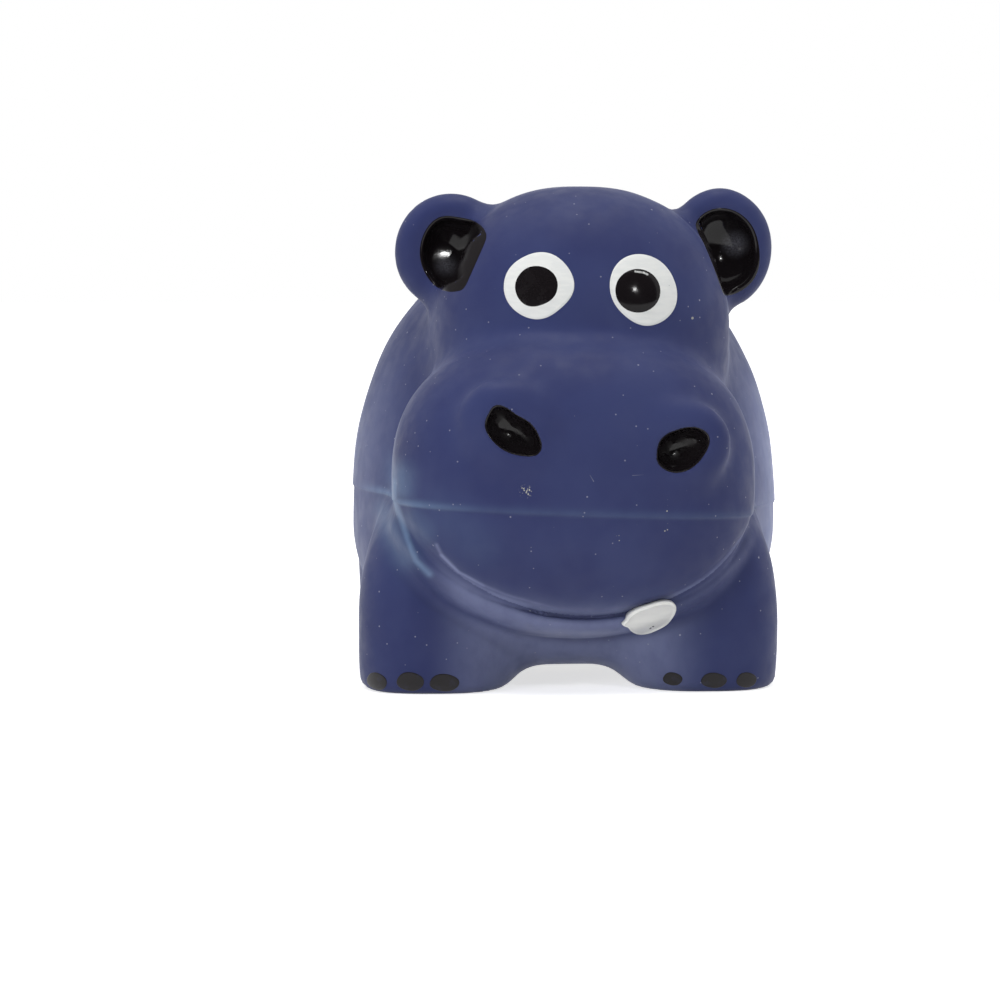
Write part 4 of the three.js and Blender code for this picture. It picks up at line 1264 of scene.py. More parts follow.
class HIPPO_OT_skin(Operator):
    """Latex skin: the outer form less an even wall, with the lip round the squeaker's hole."""

    bl_idname = "hippo.skin"
    bl_label = "Latex skin"

    def execute(self, context):
        sizes = context.scene.hippo_skin
        material = latex_material(context.scene.hippo_colours)
        form = skin_outside(sizes)
        low, high = np.array(cad_box) / MM
        low, high = low - BOX_MARGIN, high + BOX_MARGIN
        coarse, fine = sizes.coarse / MM, sizes.fine / MM
        points, triangles = contour(form, low, high, coarse)
        spots = self.detail_spots()

        def wanted(middles):
            return self.wanted_edge(middles, spots, fine, coarse)

        for _ in range(HALVINGS):
            points, triangles = refine(form, points, triangles, wanted)
        points = relax(form, points, triangles)
        skin = mesh_object("hippo_skin", points, [triangles], material)
        wall = sizes.wall / MM
        inner, inner_triangles = contour(lambda at: cavity_form(at, wall), low, high, CAVITY_CELL)
        cavity = mesh_object("cavity", inner, [inner_triangles], material)
        cut_and_join(skin, [("DIFFERENCE", cavity), *self.hole_steps(material)])
        finish_surface(skin, material, SHARP_TURN)
        mark_wear_and_painted_light(skin)
        squeeze_with(skin, "skin")
        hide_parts("latex_skin")
        return {"FINISHED"}

    def hole_steps(self, material):
        """The lip round the squeaker's hole, and the cuts of the flange's pocket and of the hole."""
        low, high = box_mm("squeaker_case")
        middle = (low + high)[:2] / 2.0
        flange = (high - low)[0] / 2.0
        pocket_top = low[2] + FLANGE_THICK + FIT_GAP
        lip_top = pocket_top + HOLE_LIP_THICK
        lip_ring = ring(0.0, HOLE_LIP_RADIUS, pocket_top - HOLE_LIP_OVERLAP, lip_top, HOLE_LIP_ROUND)
        pocket_ring = ring(0.0, flange + FIT_GAP, -CUT_PAST, pocket_top)
        hole_ring = ring(0.0, flange - FLANGE_OVER + FIT_GAP, -CUT_PAST, lip_top + CUT_PAST)
        return [
            ("UNION", turned("lip", lip_ring, middle, material)),
            ("DIFFERENCE", turned("pocket", pocket_ring, middle, material)),
            ("DIFFERENCE", turned("hole", hole_ring, middle, material)),
        ]

    def detail_spots(self):
        """Places with painted or pressed detail: middle and radius in millimetres."""
        spots = []
        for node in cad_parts:
            if node.startswith(("left_", "right_")) or node == "tooth":
                low, high = box_mm(node)
                spots.append(((low + high) / 2.0, np.linalg.norm(high - low) / 2.0))
        return spots

    def wanted_edge(self, points, spots, fine, coarse):
        """Edge length wanted at points: fine along the seam, the mouth and the paint, and growing away."""
        head_points = to_head(points)
        below = egg_distance(head_points, MOUTH)
        off_lips = np.abs(below - LIP_BAND_MIDDLE) - LIP_BAND_HALF
        lips = np.maximum(off_lips, head_points[:, 1] - MOUTH_BACK)
        lips = np.maximum(lips, head_points[:, 2] - MOUTH_END_HEIGHT)
        away = np.minimum(np.abs(seam_offset(points)) - SEAM_BAND, lips)
        length = fine + EDGE_GROWTH * np.maximum(away, 0.0)
        for middle, radius in spots:
            beyond = np.linalg.norm(points - middle, axis=1) - radius
            near_paint = fine * PAINT_EDGE_SHARE + EDGE_GROWTH * np.maximum(beyond, 0.0)
            length = np.minimum(length, near_paint)
        return np.minimum(length, coarse * LONGEST_EDGE_SHARE)


# Marks of wear, as places across and up in the front view, with half widths. The dye is rubbed pale blue
# along the edge of the jaw on the left, on the shoulder behind it, and on the cheek.

Mark = namedtuple("Mark", "line width strength")
JAW_EDGE = ((-30.4, 36.0), (-30.6, 32.6), (-29.4, 29.6), (-28.2, 26.0), (-27.0, 22.9), (-24.8, 20.8))
BLUE_MARKS = (
    Mark(JAW_EDGE, 0.62, 0.7),
    Mark(((-29.6, 37.0), (-29.6, 35.0)), 2.2, 0.4),
    Mark(((-32.2, 29.4), (-30.2, 26.0), (-28.6, 23.4)), 2.4, 0.32),
    Mark(((-27.6, 29.6), (-25.8, 28.0)), 2.6, 0.22),
    Mark(((-23.0, 30.6), (-17.0, 26.0)), 4.5, 0.08),
)
PALE_MARKS = (
    Mark(((-23.6, 25.9), (-22.8, 24.2)), 0.34, 0.45),
    Mark(((-22.8, 24.2), (-20.0, 21.4), (-15.9, 19.2)), 0.34, 0.85),
    Mark(((-15.9, 19.2), (-12.4, 17.7), (-3.9, 15.2)), 0.4, 0.5),
)
SEAM_MARK_ABOVE = 0.9
SEAM_MARK_BELOW = 0.35
SEAM_MARK_LEAST = 0.12
SEAM_MARK_MORE = 0.5
# Pale lips: the lower lip's roll is rubbed dye with a painted reflection of the floor on it, and the upper
# lip's edge holds a painted highlight.
LIP_ROLL_WIDTH = 2.0
LIP_ROLL_THINNER = 0.75
LIP_EDGE_HIGHLIGHT_WIDTH = 1.6
LIP_EDGE_HIGHLIGHT_STRENGTH = 0.75
OFF_JAW_WIDTH = 1.6
# Painted light: the flanks are paler where side light and sheen fall on them, more on the right, and the chest
# under the lip is paler for the bounce light from the floor.
LEFT_FLANK_LIGHT = 0.42
RIGHT_FLANK_LIGHT = 1.0
CHEST_BOUNCE_LIGHT = 0.8
CHEST_MIDDLE = -1.0

# Where the wear and the painted light fade in: the places, along one axis, at which they start and are full.

SEAM_MARK_TO_LEFT = (-14.0, -32.0)
BLUE_TO_FRONT = (0.0, -16.0)
ROLL_TO_RIGHT = (4.0, 15.0)
LIPS_FROM_LEFT = (-29.0, -20.0)
FLANK_LIGHT_TO_RIGHT = (-12.0, 12.0)
FLANK_LIGHT_FROM_FRONT = (-24.0, -4.0)
FLANK_LIGHT_FROM_BACK = (48.0, 6.0)
FLANK_LIGHT_FROM_TOP = (64.0, 38.0)
FLANK_LIGHT_TO_SIDES = (10.0, 30.0)
CHEST_BELOW_LIP = (4.0, 7.0)
PALE_TO_FRONT = (-20.0, -30.0)
CHEST_FROM_SIDES = (25.0, 9.0)


def line_distance(across, up, line):
    """Distance in the front view to a line of straight stretches: the least over them of the distance to the
    nearest point between a stretch's ends."""
    least = np.full(len(across), FAR)
    for start, end in zip(line[:-1], line[1:]):
        run = np.subtract(end, start)
        dot = (across - start[0]) * run[0] + (up - start[1]) * run[1]
        share = np.clip(dot / (run @ run), 0.0, 1.0)
        reach = np.hypot(across - start[0] - share * run[0], up - start[1] - share * run[1])
        least = np.minimum(least, reach)
    return least


def worn_along(points, marks):
    """Share of dye rubbed off along marks: bell curves over the distance to each."""
    share = np.zeros(len(points))
    for mark in marks:
        away = line_distance(points[:, 0], points[:, 2], mark.line)
        share = np.maximum(share, mark.strength * np.exp(-((away / mark.width) ** 2)))
    return share


def worn_blue(points):
    """Share of dye rubbed to pale blue: along the marks and just over the parting line."""
    share = worn_along(points, BLUE_MARKS)
    over = seam_offset(points)
    width = np.where(over > 0.0, SEAM_MARK_ABOVE, SEAM_MARK_BELOW)
    strength = SEAM_MARK_LEAST + SEAM_MARK_MORE * smooth_step(points[:, 0], *SEAM_MARK_TO_LEFT)
    share = np.maximum(share, strength * np.exp(-((over / width) ** 2)))
    return share * smooth_step(points[:, 1], *BLUE_TO_FRONT)


def pale_wear_and_painted_light(points):
    """Share of pale colour, the most of: the lips, rubbed and with painted light, the rubbed pale lines, the
    painted light on the flanks and the painted bounce light on the chest.
    """
    head_points = to_head(points)
    below = egg_distance(head_points, MOUTH)
    rims = worn_along(points, PALE_MARKS) * smooth_step(points[:, 1], *PALE_TO_FRONT)
    # Painted bounce light from the floor on the chest under the lip.
    chest = CHEST_BOUNCE_LIGHT * smooth_step(below, *CHEST_BELOW_LIP) * smooth_step(points[:, 1], *PALE_TO_FRONT)
    chest = chest * smooth_step(np.abs(points[:, 0] - CHEST_MIDDLE), *CHEST_FROM_SIDES)
    return np.maximum.reduce([lips_worn_and_lit(head_points, below), rims, painted_light_on_flanks(points), chest])


def lips_worn_and_lit(head_points, below):
    """Pale lips: a bell curve on the roll of the lower one, rubbed dye with a painted reflection of the floor,
    and a painted highlight that falls away from the edge of the upper.
    """
    thin = 1.0 - LIP_ROLL_THINNER * smooth_step(head_points[:, 0], *ROLL_TO_RIGHT)
    roll = thin * np.exp(-((below - ROLL_PLACE) / LIP_ROLL_WIDTH) ** 2)
    edge = LIP_EDGE_HIGHLIGHT_STRENGTH * np.exp(-np.maximum(-below, 0.0) / LIP_EDGE_HIGHLIGHT_WIDTH)
    edge = edge * (below < GROOVE_START / 2.0)
    fade = smooth_step(head_points[:, 2], MOUTH_END_HEIGHT, MOUTH_FULL_HEIGHT)
    fade = fade * smooth_step(head_points[:, 1], MOUTH_BACK, MOUTH_FRONT)
    fade = fade * smooth_step(head_points[:, 0], *LIPS_FROM_LEFT)
    off_jaw = np.maximum(egg_distance(head_points, JAW), 0.0)
    return np.maximum(roll, edge) * fade * np.exp(-((off_jaw / OFF_JAW_WIDTH) ** 2))


def painted_light_on_flanks(points):
    """Painted side light and sheen on the flanks, more on the right one, that fade towards the front, back and
    top.
    """
    grazing_sheen = LEFT_FLANK_LIGHT + (RIGHT_FLANK_LIGHT - LEFT_FLANK_LIGHT) * smooth_step(points[:, 0], *FLANK_LIGHT_TO_RIGHT)
    grazing_sheen = grazing_sheen * smooth_step(points[:, 1], *FLANK_LIGHT_FROM_FRONT) * smooth_step(points[:, 1], *FLANK_LIGHT_FROM_BACK)
    grazing_sheen = grazing_sheen * smooth_step(points[:, 2], *FLANK_LIGHT_FROM_TOP)
    return grazing_sheen * smooth_step(np.abs(points[:, 0]), *FLANK_LIGHT_TO_SIDES)


def mark_wear_and_painted_light(piece):
    """Stores the shares of wear and of painted light at a skin's points, for its material."""
    mesh = piece.data
    points = np.empty(len(mesh.vertices) * 3, np.float32)
    mesh.vertices.foreach_get("co", points)
    points = points.reshape(-1, 3) / MM
    for name, worn in (("worn_blue", worn_blue), ("pale_wear_and_painted_light", pale_wear_and_painted_light)):
        attribute = mesh.attributes.new(name, "FLOAT", "POINT")
        attribute.data.foreach_set("value", worn(points).astype(np.float32))


# Tufts of the filling: lengths of two crossed waves, their height and the air that they leave. The squeaker
# has a round room in the filling.

CAVITY_BLEND = 1.0
TUFT_LENGTHS = (7.0, 9.0, 8.0)
CROSSED_TUFT_LENGTHS = (-6.5, 8.0, 10.0)
TUFT_HIGH = 0.45
TUFT_AIR = 1.3
ROOM_RADIUS = 14.5
ROOM_OVER = 3.0
ROOM_ROUND = 3.0
FILLING_ROUND = 2.0
FILLING_CELL = 2.0


def cavity_form(points, wall):
    """Inside of the skin: the plain form drawn in by the wall, also round the dishes and pits."""
    head_points = to_head(points)
    form = plain_form(points, head_points) + wall
    for dish in EAR_DISHES.values():
        form = soft_max(form, wall - hollow_distance(head_points, dish), CAVITY_BLEND)
    for pit in NOSTRIL_PITS.values():
        form = soft_max(form, wall - hollow_distance(points, pit), CAVITY_BLEND)
    return form


def ring(inner, outer, bottom, top, radius=0.0):
    """Profile of a ring of square section, or of a disc where the inner radius is zero."""
    profile = [(inner, bottom), (outer, bottom), (outer, top), (inner, top)]
    return rounded(profile, radius) if radius > 0.0 else np.array(profile, float)


class HIPPO_OT_filling(Operator):
    """Fibre filling: the cavity less a little air, lumpy where the tufts lie, with room for the squeaker."""

    bl_idname = "hippo.filling"
    bl_label = "Fibre filling"

    def execute(self, context):
        wall = context.scene.hippo_skin.wall / MM
        low, high = box_mm("fibre_filling")
        case_low, case_high = box_mm("squeaker_case")
        middle = (case_low + case_high) / 2.0
        room_top = case_high[2] + ROOM_OVER

        def form(points):
            tufts = np.sin(points @ (2.0 * math.pi / np.array(TUFT_LENGTHS)))
            tufts = tufts * np.sin(points @ (2.0 * math.pi / np.array(CROSSED_TUFT_LENGTHS)))
            loose = cavity_form(points, wall) + TUFT_AIR + TUFT_HIGH * tufts
            reach = np.hypot(points[:, 0] - middle[0], points[:, 1] - middle[1]) - ROOM_RADIUS
            room = soft_max(reach, points[:, 2] - room_top, ROOM_ROUND)
            return soft_max(loose, -room, FILLING_ROUND)

        points, triangles = contour(form, low - BOX_MARGIN, high + BOX_MARGIN, FILLING_CELL)
        material = fibre_material(context.scene.hippo_colours)
        filling = mesh_object("loose_filling", points, [triangles], material)
        squeeze_with(filling, "skin")
        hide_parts("fibre_filling")
        return {"FINISHED"}


LEFT_EYE_SHARES = (0.98, 0.97, 0.99, 0.98, 0.94, 0.96, 0.98, 1.0, 1.0, 0.99, 0.91, 0.92)
RIGHT_EYE_SHARES = (0.96, 0.92, 0.93, 0.97, 1.02, 1.01, 0.95, 0.89, 0.88, 0.95, 0.99, 1.01)
LEFT_PUPIL_SHARES = (0.97, 1.01, 1.01, 1.01, 1.0, 0.98, 0.99, 1.0, 1.01, 0.93, 0.89, 0.93)
EYE_SHADE = (0.7, 1.0)
EYE_HEAP = 0.2

# Sections of paint, as shares of the way out from the middle: where its heaped edge stands and how wide it
# is, how steeply the edge ends, and how a drop's cap is shaped.

HEAP_PLACE = 0.93
HEAP_WIDTH = 0.05
EDGE_POWER = 24
DROP_BASE = 0.9
DROP_FLAT_TOP = 2.2
DROP_SHOULDER = 0.8


class HIPPO_OT_eyes(Operator):
    """Eyes: a flat white and a black pupil on each side, the left one nearly flat, the right one a drop."""

    bl_idname = "hippo.eyes"
    bl_label = "Eyes"

    def execute(self, context):
        colours, enamel = context.scene.hippo_colours, context.scene.hippo_enamel
        form = skin_outside(context.scene.hippo_skin)
        white = white_enamel_material(colours, "eye_enamel", *EYE_SHADE)
        flat = enamel.eye_white / MM
        glossy = black_enamel_material(colours, GLOSSY_PUPIL)
        dull = black_enamel_material(colours, DULL_PUPIL)
        for side, shares, pupil_shares, dome, black in (
            ("left", LEFT_EYE_SHARES, LEFT_PUPIL_SHARES, enamel.flat_pupil, dull),
            ("right", RIGHT_EYE_SHARES, EVEN, enamel.round_pupil, glossy),
        ):
            middle, half = node_middle(f"{side}_eye_white")
            brushed = edged(flat, EYE_HEAP)
            eye = film(f"{side}_white_of_eye", form, middle, half, 0.0, shares, brushed, white)
            squeeze_with(eye, "upper_face")
            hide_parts(f"{side}_eye_white")
            middle, half = node_middle(f"{side}_pupil")
            drop_shape = domed(flat, dome / MM)
            drop = film(f"{side}_pupil_drop", form, middle, half, 0.0, pupil_shares, drop_shape, black)
            squeeze_with(drop, "upper_face")
            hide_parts(f"{side}_pupil")
        return {"FINISHED"}


def edged(thickness, heap=0.0):
    """Thickness of a brushed film: even, heaped near the edge by a share, and falling off at its end."""
    def at(share):
        heaped = heap * np.exp(-((share - HEAP_PLACE) / HEAP_WIDTH) ** 2)
        return thickness * (1.0 + heaped) * np.sqrt(np.maximum(1.0 - share ** EDGE_POWER, 0.0))
    return at


def domed(base, height):
    """Thickness of a drop: a cap over the base film."""
    def at(share):
        cap = np.maximum(1.0 - share ** DROP_FLAT_TOP, 0.0) ** DROP_SHOULDER
        return base * DROP_BASE + height * cap
    return at


EAR_POOLS = {"left": Pool((-22.0, 73.9), 0.6, 0.25, 0.215, 40.0, 18.0), "right": None}
DISH_RIM = 1.03
EAR_RINGS = 70
NOSTRIL_RINGS = 60


class HIPPO_OT_linings(Operator):
    """Black enamel in the dishes of the ears and the pits of the nostrils."""

    bl_idname = "hippo.linings"
    bl_label = "Ear and nostril linings"

    def execute(self, context):
        colours, enamel = context.scene.hippo_colours, context.scene.hippo_enamel
        form = skin_outside(context.scene.hippo_skin)
        black = black_enamel_material(colours, NOSTRIL_COAT)
        thick_black = black_enamel_material(colours, EAR_COAT)
        thickness = edged(enamel.lining / MM)
        for side, dish in EAR_DISHES.items():
            middle = from_head(dish.middle)[[0, 2]]
            half = dish.half[:2] * DISH_RIM
            piece = film(
                f"{side}_ear_enamel", form, middle, half, 0.0, dish.shares, thickness, thick_black,
                rings=EAR_RINGS, chord=EAR_CHORDS[side], pool=EAR_POOLS[side],
            )
            squeeze_with(piece, "upper_face")
            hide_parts(f"{side}_ear_lining")
        for side, pit in NOSTRIL_PITS.items():
            piece = film(
                f"{side}_nostril_enamel", form, pit.middle[[0, 2]], pit.half[:2], NOSTRILS[side].tilt,
                pit.shares, thickness, black, rings=NOSTRIL_RINGS,
            )
            squeeze_with(piece, "nose")
            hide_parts(f"{side}_nostril_lining")
        return {"FINISHED"}


TOOTH_SHARES = (0.89, 1.14, 1.16, 0.88, 0.80, 0.85, 0.96, 1.02, 1.11, 1.03, 0.86, 0.84)
TOOTH_DRIP = (math.radians(197.0), 0.17, math.radians(8.0))
TOOTH_PLACE = (11.9, 13.4)
TOOTH_HALF = (4.3, 2.98)
TOOTH_FILL = 0.7
TOOTH_BLEND = 1.6
TOOTH_DEPTH = 4.0
TOOTH_SECTORS = 180
TOOTH_HEAP = 0.6
TOOTH_SHADE = (0.0, 0.2)


class HIPPO_OT_tooth(Operator):
    """The one tooth: a thick drop of white enamel over the corner of the mouth."""

    bl_idname = "hippo.tooth"
    bl_label = "Tooth"

    def execute(self, context):
        enamel = context.scene.hippo_enamel
        outside = skin_outside(context.scene.hippo_skin)
        white = white_enamel_material(context.scene.hippo_colours, "tooth_enamel", *TOOTH_SHADE)

        def form(points):
            """The outside with the mouth's groove filled."""
            filled = plain_form(points, to_head(points)) - TOOTH_FILL
            return soft_min(outside(points), filled, TOOTH_BLEND)

        piece = film(
            "painted_tooth", form, TOOTH_PLACE, TOOTH_HALF, 0.0, TOOTH_SHARES,
            edged(enamel.tooth / MM, TOOTH_HEAP), white,
            sectors=TOOTH_SECTORS, drip=TOOTH_DRIP, depth=TOOTH_DEPTH,
        )
        squeeze_with(piece, "mouth")
        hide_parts("tooth")
        return {"FINISHED"}


CLAW_SHARES = (1.0, 0.98, 0.96, 1.0, 1.03, 0.98, 1.0, 1.02, 0.97, 0.99, 1.02, 1.0)
CLAW_RINGS = 16
CLAW_SECTORS = 60


class HIPPO_OT_claws(Operator):
    """Claws: six dull ovals along the front edge of the forefeet."""

    bl_idname = "hippo.claws"
    bl_label = "Claws"

    def execute(self, context):
        colours, enamel = context.scene.hippo_colours, context.scene.hippo_enamel
        form = skin_outside(context.scene.hippo_skin)
        material = claw_enamel_material(colours)
        for node in sorted(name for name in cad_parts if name.endswith("_claw")):
            middle, half = node_middle(node)
            piece = film(
                f"{node}_paint", form, middle, half, 0.0, CLAW_SHARES, edged(enamel.claw / MM), material,
                CLAW_RINGS, CLAW_SECTORS,
            )
            squeeze_with(piece, "skin")
            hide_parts(node)
        return {"FINISHED"}


RIB_IN = 0.6
RIB_TALL = 1.2
AIR_HOLE_RADIUS = 1.9
SOCKET_TALL = 5.0
TUBE_WALL = 0.9
LID_THICK = 1.2
PLUG_WALL = 1.0
VENTS = 6
VENT_RADIUS = 0.8
VENT_SECTORS = 32
SEAT_STEPS = 33


class HIPPO_OT_squeaker(Operator):
    """Squeaker: a flanged cup in the belly's hole, its cap with vents, the reed's tube and its seat."""

    bl_idname = "hippo.squeaker"
    bl_label = "Squeaker"

    def execute(self, context):
        sizes = context.scene.hippo_squeaker
        material = squeaker_plastic_material(context.scene.hippo_colours)
        radius = sizes.edge_radius / MM
        wall = sizes.case_wall / MM
        low, high = box_mm("squeaker_case")
        middle = (low + high)[:2] / 2.0
        flange = (high - low)[0] / 2.0
        bottom, top = low[2], high[2]
        tube_low, tube_high = box_mm("reed_tube")
        tube_radius = (tube_high - tube_low)[0] / 2.0
        case_radius, rib_radius = flange - FLANGE_OVER, flange - RIB_IN
        floor_top = bottom + wall
        socket = tube_radius + FIT_GAP
        hole = AIR_HOLE_RADIUS
        flange_top = bottom + FLANGE_THICK
        rib_bottom = flange_top + FIT_GAP + HOLE_LIP_THICK + FIT_GAP
        rib_top = rib_bottom + RIB_TALL
        socket_top = floor_top + SOCKET_TALL
        cup = turned("squeaker_cup", rounded([
            (hole, bottom), (flange, bottom), (flange, flange_top), (case_radius, flange_top),
            (case_radius, rib_bottom), (rib_radius, rib_bottom), (case_radius, rib_top), (case_radius, top),
            (case_radius - wall, top), (case_radius - wall, floor_top), (socket + wall, floor_top),
            (socket + wall, socket_top), (socket, socket_top), (socket, floor_top), (hole, floor_top),
        ], radius), middle, material)
        cap = self.cap(middle, case_radius, wall, radius, material)
        pipe = ring(tube_radius - TUBE_WALL, tube_radius, tube_low[2], tube_high[2], radius)
        tube = turned("reed_pipe", pipe, middle, material)
        seat = self.seat(middle, material)
        for piece, node in (
            (cup, "squeaker_case"), (cap, "squeaker_cap"), (tube, "reed_tube"), (seat, "reed_seat"),
        ):
            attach(piece, "skin")
            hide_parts(node)
        return {"FINISHED"}

    def cap(self, middle, case_radius, wall, radius, material):
        """A lid with a plug under it and a circle of vents."""
        low, high = box_mm("squeaker_cap")
        plug = case_radius - wall - FIT_GAP
        plug_inside = plug - PLUG_WALL
        plate_bottom = high[2] - LID_THICK
        cap = turned("squeaker_lid", rounded([
            (0.0, plate_bottom), (plug_inside, plate_bottom), (plug_inside, low[2]), (plug, low[2]),
            (plug, plate_bottom), (case_radius, plate_bottom), (case_radius, high[2]), (0.0, high[2]),
        ], radius), middle, material)
        vent = ring(0.0, VENT_RADIUS, low[2], high[2] + CUT_PAST)
        cuts = []
        for number in range(VENTS):
            angle = 2.0 * math.pi * number / VENTS
            at = (middle[0] + plug / 2.0 * math.cos(angle), middle[1] + plug / 2.0 * math.sin(angle))
            cuts.append(("DIFFERENCE", turned("vent", vent, at, material, VENT_SECTORS)))
        cut_and_join(cap, cuts)
        finish_surface(cap, material, SHARP_TURN)
        return cap

    def seat(self, middle, material):
        """A half-round bar: a half circle with its chord, carried straight up."""
        low, high = box_mm("reed_seat")
        radius = (high - low)[0] / 2.0
        angles = np.linspace(0.0, math.pi, SEAT_STEPS)
        outline_points = np.stack([
            middle[0] + radius * np.cos(angles), low[1] + radius * np.sin(angles),
        ], axis=1)
        count = len(outline_points)
        points = np.concatenate([
            np.column_stack([outline_points, np.full(count, height)]) for height in (low[2], high[2])
        ])
        number = np.arange(count)
        following = np.roll(number, -1)
        sides = np.stack([number, following, following + count, number + count], axis=1)
        caps = [number[::-1][None, :], (number + count)[None, :]]
        seat = mesh_object("reed_rest", points, [sides, *caps], material, STRIP_SHARP_TURN)
        face_outwards(seat)
        return seat


REED_COLUMNS = 9
REED_ROWS = 19


class HIPPO_OT_reed(Operator):
    """Reed: a thin brass strip, clamped at its top end."""

    bl_idname = "hippo.reed"
    bl_label = "Reed"

    def execute(self, context):
        low, high = box_mm("reed")
        edge = context.scene.hippo_squeaker.reed_edge / MM
        across = np.linspace(low[0] + edge, high[0] - edge, REED_COLUMNS)
        up = np.linspace(low[2] + edge, high[2] - edge, REED_ROWS)
        x = np.concatenate([[low[0]], across, [high[0]]])
        z = np.concatenate([[low[2]], up, [high[2]]])
        grid_x, grid_z = np.meshgrid(x, z, indexing="ij")
        rim = np.minimum.reduce([grid_x - low[0], high[0] - grid_x, grid_z - low[2], high[2] - grid_z])
        sink = edge * (1.0 - np.minimum(rim / edge, 1.0))
        front = np.stack([grid_x, low[1] + sink, grid_z], axis=-1)
        back = np.stack([grid_x, high[1] - sink, grid_z], axis=-1)
        points = np.concatenate([front.reshape(-1, 3), back.reshape(-1, 3)])
        number = np.arange(front[..., 0].size).reshape(front.shape[:2])
        quads = np.stack([
            number[:-1, :-1], number[1:, :-1], number[1:, 1:], number[:-1, 1:],
        ], axis=-1).reshape(-1, 4)
        border = np.concatenate([number[:-1, 0], number[-1, :-1], number[:0:-1, -1], number[0, :0:-1]])
        following = np.roll(border, -1)
        shift = number.size
        rim_quads = np.stack([border, following, following + shift, border + shift], axis=1)
        faces = np.concatenate([quads, quads[:, ::-1] + shift, rim_quads[:, ::-1]])
        material = reed_brass_material(context.scene.hippo_colours)
        reed = mesh_object("brass_reed", points, [faces], material, STRIP_SHARP_TURN)
        face_outwards(reed)
        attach(reed, "reed")
        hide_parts("reed")
        return {"FINISHED"}


# The studio. Lamps and the camera are placed in metres, the floor and the dark cloth in millimetres. The toy
# is lit by discs of the given size and power, and only those named after them are seen in the enamel.

Lamp = namedtuple("Lamp", "name place size power")
LAMPS = (
    Lamp("key_lamp", (0.33, -0.64, 0.385), 0.06, 0.85),
    Lamp("overhead_softbox", (0.0, 0.0, 0.66), 0.22, 0.9),
    Lamp("right_softbox", (0.6, 0.1, 0.3), 0.4, 1.2),
    Lamp("left_softbox", (-0.45, -0.45, 0.2), 0.35, 0.85),
    Lamp("top_left_softbox", (-0.35, -0.2, 0.55), 0.3, 0.75),
    Lamp("top_front_softbox", (0.0, -0.35, 0.6), 0.3, 1.4),
    Lamp("low_reflector", (-0.3, -0.4, 0.03), 0.25, 0.6),
)
MIRRORED_LAMPS = ("key_lamp", "overhead_softbox")
LAMP_AIM = Vector((0.0, 0.0, 0.04))
CAMERA_AIM = Vector((0.00036, 0.0, 0.0402))
CAMERA_SHIFT_X = -0.067
CAMERA_SHIFT_Y = -0.057
SENSOR_WIDTH = 36.0
WHITE = (1.0, 1.0, 1.0, 1.0)
FLOOR_HALF = 8000.0
FLOOR_LIFT = (0.68, 1.0)
SHADOW_INNER = 120.0
SHADOW_OUTER = 600.0
CLOTH_COLOUR = linear("#161616")
CLOTH_HALF = 3000.0
CLOTH_LOW = -1.0
CLOTH_HIGH = 2600.0
CLOTH_BACK = -900.0


def seen_rays(tree):
    """One for rays from the camera, a mirror or through glass, and zero for the light on things."""
    path = add_node(tree, "ShaderNodeLightPath")
    seen = math_node(tree, "ADD", path.outputs["Is Camera Ray"], path.outputs["Is Glossy Ray"])
    return math_node(tree, "ADD", seen, path.outputs["Is Transmission Ray"])


def sheet(name, corners, material):
    """A flat piece with four corners."""
    return mesh_object(name, np.array(corners), [np.array([[0, 1, 2, 3]])], material)


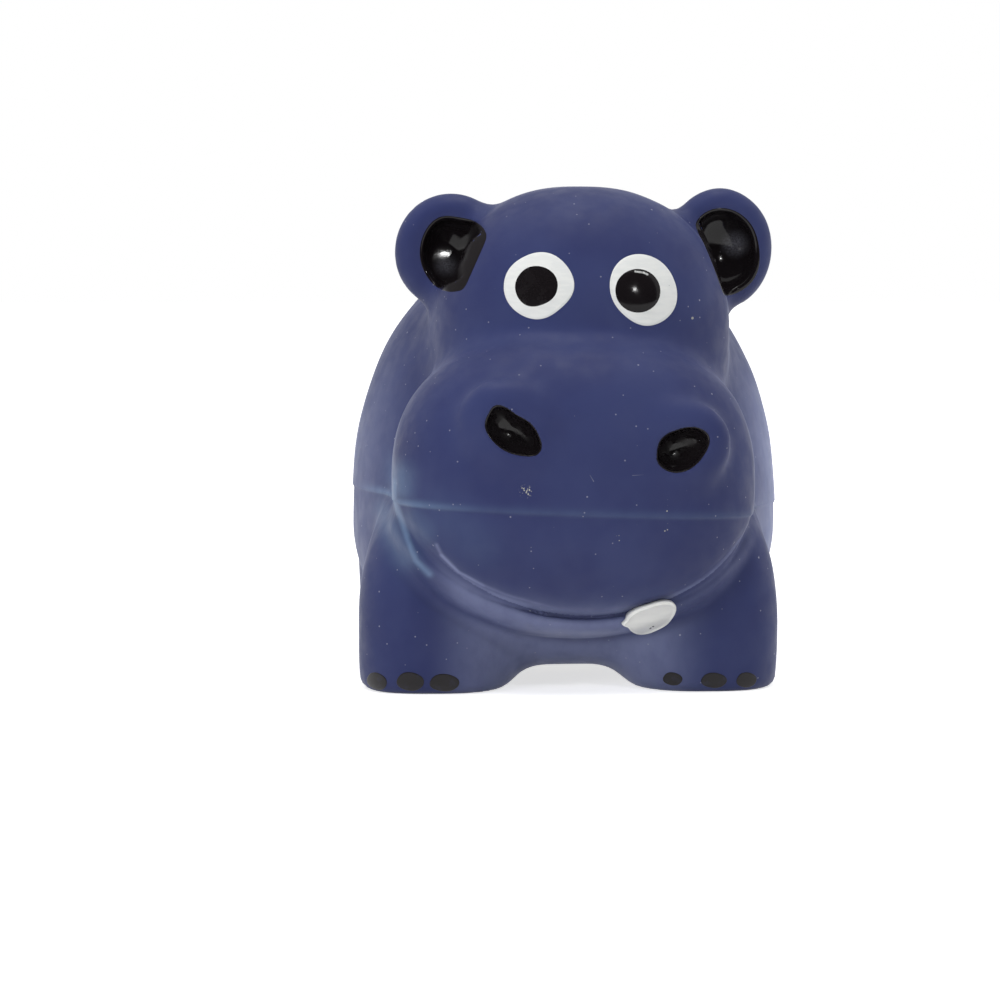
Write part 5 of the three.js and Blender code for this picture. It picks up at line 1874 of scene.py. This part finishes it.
class HIPPO_OT_stage(Operator):
    """Pale floor, soft lamps and the camera at the photograph's angle."""

    bl_idname = "hippo.stage"
    bl_label = "Stage"

    def execute(self, context):
        stage = context.scene.hippo_stage
        self.add_floor(context.scene.hippo_colours)
        self.add_world(context.scene, stage.ambient)
        self.add_cloth()
        for lamp in LAMPS:
            self.add_lamp(context.scene, lamp)
        self.add_camera(context.scene, stage)
        return {"FINISHED"}

    def add_floor(self, colours):
        """A wide even floor that is seen and mirrored as near white, with the toy's soft shadow on it: away
        from the lamps it is lifted up to the white of the room."""
        material, tree, shader, place = new_material("studio_floor")
        lift = near_point(tree, place, (0.0, 0.0, 0.0), SHADOW_INNER, SHADOW_OUTER)
        lift = ramp(tree, math_node(tree, "SUBTRACT", 1.0, lift), 0.0, 1.0, *FLOOR_LIFT)
        fill_shader(tree, shader, {
            "Base Color": rgba(colours.floor),
            "Roughness": 0.9,
            "Specular IOR Level": 0.0,
            "Emission Color": WHITE,
            "Emission Strength": math_node(tree, "MULTIPLY", seen_rays(tree), lift),
        })
        half = FLOOR_HALF
        corners = [(-half, -half, 0.0), (half, -half, 0.0), (half, half, 0.0), (-half, half, 0.0)]
        floor = sheet("floor", corners, material)

    def add_cloth(self):
        """A dark cloth behind the camera, which black enamel mirrors. No camera sees it."""
        material, tree, shader, _ = new_material("black_cloth")
        fill_shader(tree, shader, {"Base Color": rgba(CLOTH_COLOUR), "Roughness": 1.0})
        flag = sheet("flag", [
            (-CLOTH_HALF, CLOTH_BACK, CLOTH_LOW), (CLOTH_HALF, CLOTH_BACK, CLOTH_LOW),
            (CLOTH_HALF, CLOTH_BACK, CLOTH_HIGH), (-CLOTH_HALF, CLOTH_BACK, CLOTH_HIGH),
        ], material)
        flag.visible_camera = False
        flag.visible_shadow = False

    def add_world(self, scene, ambient):
        """A white room where it is seen or mirrored, and a softer one for the light on the toy."""
        world = bpy.data.worlds.new("white_room")
        scene.world = world
        world.use_nodes = True
        tree = world.node_tree
        tree.nodes.clear()
        strength = ramp(tree, seen_rays(tree), 0.0, 1.0, ambient, 1.0)
        room = add_node(tree, "ShaderNodeBackground", values={"Color": WHITE}, links={"Strength": strength})
        add_node(tree, "ShaderNodeOutputWorld", links={"Surface": room.outputs["Background"]})

    def add_lamp(self, scene, lamp):
        """A round soft lamp, turned towards the toy's middle."""
        light = bpy.data.lights.new(lamp.name, "AREA")
        light.shape = "DISK"
        light.size = lamp.size
        light.energy = lamp.power
        holder = bpy.data.objects.new(lamp.name, light)
        place = Vector(lamp.place)
        holder.location = place
        holder.rotation_euler = (LAMP_AIM - place).to_track_quat("-Z", "Y").to_euler()
        holder.visible_glossy = lamp.name in MIRRORED_LAMPS
        scene.collection.objects.link(holder)

    def add_camera(self, scene, stage):
        """A camera that looks at the toy's middle from the stage's azimuth, elevation and distance."""
        camera = bpy.data.cameras.new("camera")
        camera.lens = stage.lens
        camera.sensor_width = SENSOR_WIDTH
        camera.shift_x = CAMERA_SHIFT_X
        camera.shift_y = CAMERA_SHIFT_Y
        holder = bpy.data.objects.new("camera", camera)
        flat = math.cos(stage.elevation)
        back = Vector((
            math.sin(stage.azimuth) * flat, -math.cos(stage.azimuth) * flat, math.sin(stage.elevation),
        ))
        holder.location = CAMERA_AIM + back * stage.distance
        holder.rotation_euler = (-back).to_track_quat("-Z", "Y").to_euler()
        scene.collection.objects.link(holder)
        scene.camera = holder
        scene.view_settings.view_transform = "Standard"


OPERATORS = (
    HIPPO_OT_stage, HIPPO_OT_skin, HIPPO_OT_filling, HIPPO_OT_eyes, HIPPO_OT_linings,
    HIPPO_OT_tooth, HIPPO_OT_claws, HIPPO_OT_squeaker, HIPPO_OT_reed,
)


class HIPPO_PT_panel(Panel):
    """Lists the steps that build the toy."""

    bl_label = "Latex hippo"
    bl_idname = "HIPPO_PT_panel"
    bl_space_type = "VIEW_3D"
    bl_region_type = "UI"
    bl_category = "Hippo"

    def draw(self, context):
        for operator in OPERATORS:
            self.layout.operator(operator.bl_idname)


GROUPS = {
    "hippo_skin": HIPPO_PG_skin,
    "hippo_enamel": HIPPO_PG_enamel,
    "hippo_squeaker": HIPPO_PG_squeaker,
    "hippo_colours": HIPPO_PG_colours,
    "hippo_stage": HIPPO_PG_stage,
}


def register():
    for kind in (*GROUPS.values(), *OPERATORS, HIPPO_PT_panel):
        bpy.utils.register_class(kind)
    for name, kind in GROUPS.items():
        setattr(bpy.types.Scene, name, PointerProperty(type=kind))


def unregister():
    for name in GROUPS:
        delattr(bpy.types.Scene, name)
    for kind in reversed((*GROUPS.values(), *OPERATORS, HIPPO_PT_panel)):
        bpy.utils.unregister_class(kind)


def main():
    """Builds the toy and its stage."""
    register()
    bpy.ops.hippo.stage()
    bpy.ops.hippo.skin()
    bpy.ops.hippo.filling()
    bpy.ops.hippo.eyes()
    bpy.ops.hippo.linings()
    bpy.ops.hippo.tooth()
    bpy.ops.hippo.claws()
    bpy.ops.hippo.squeaker()
    bpy.ops.hippo.reed()


if __name__ == "__main__":
    main()
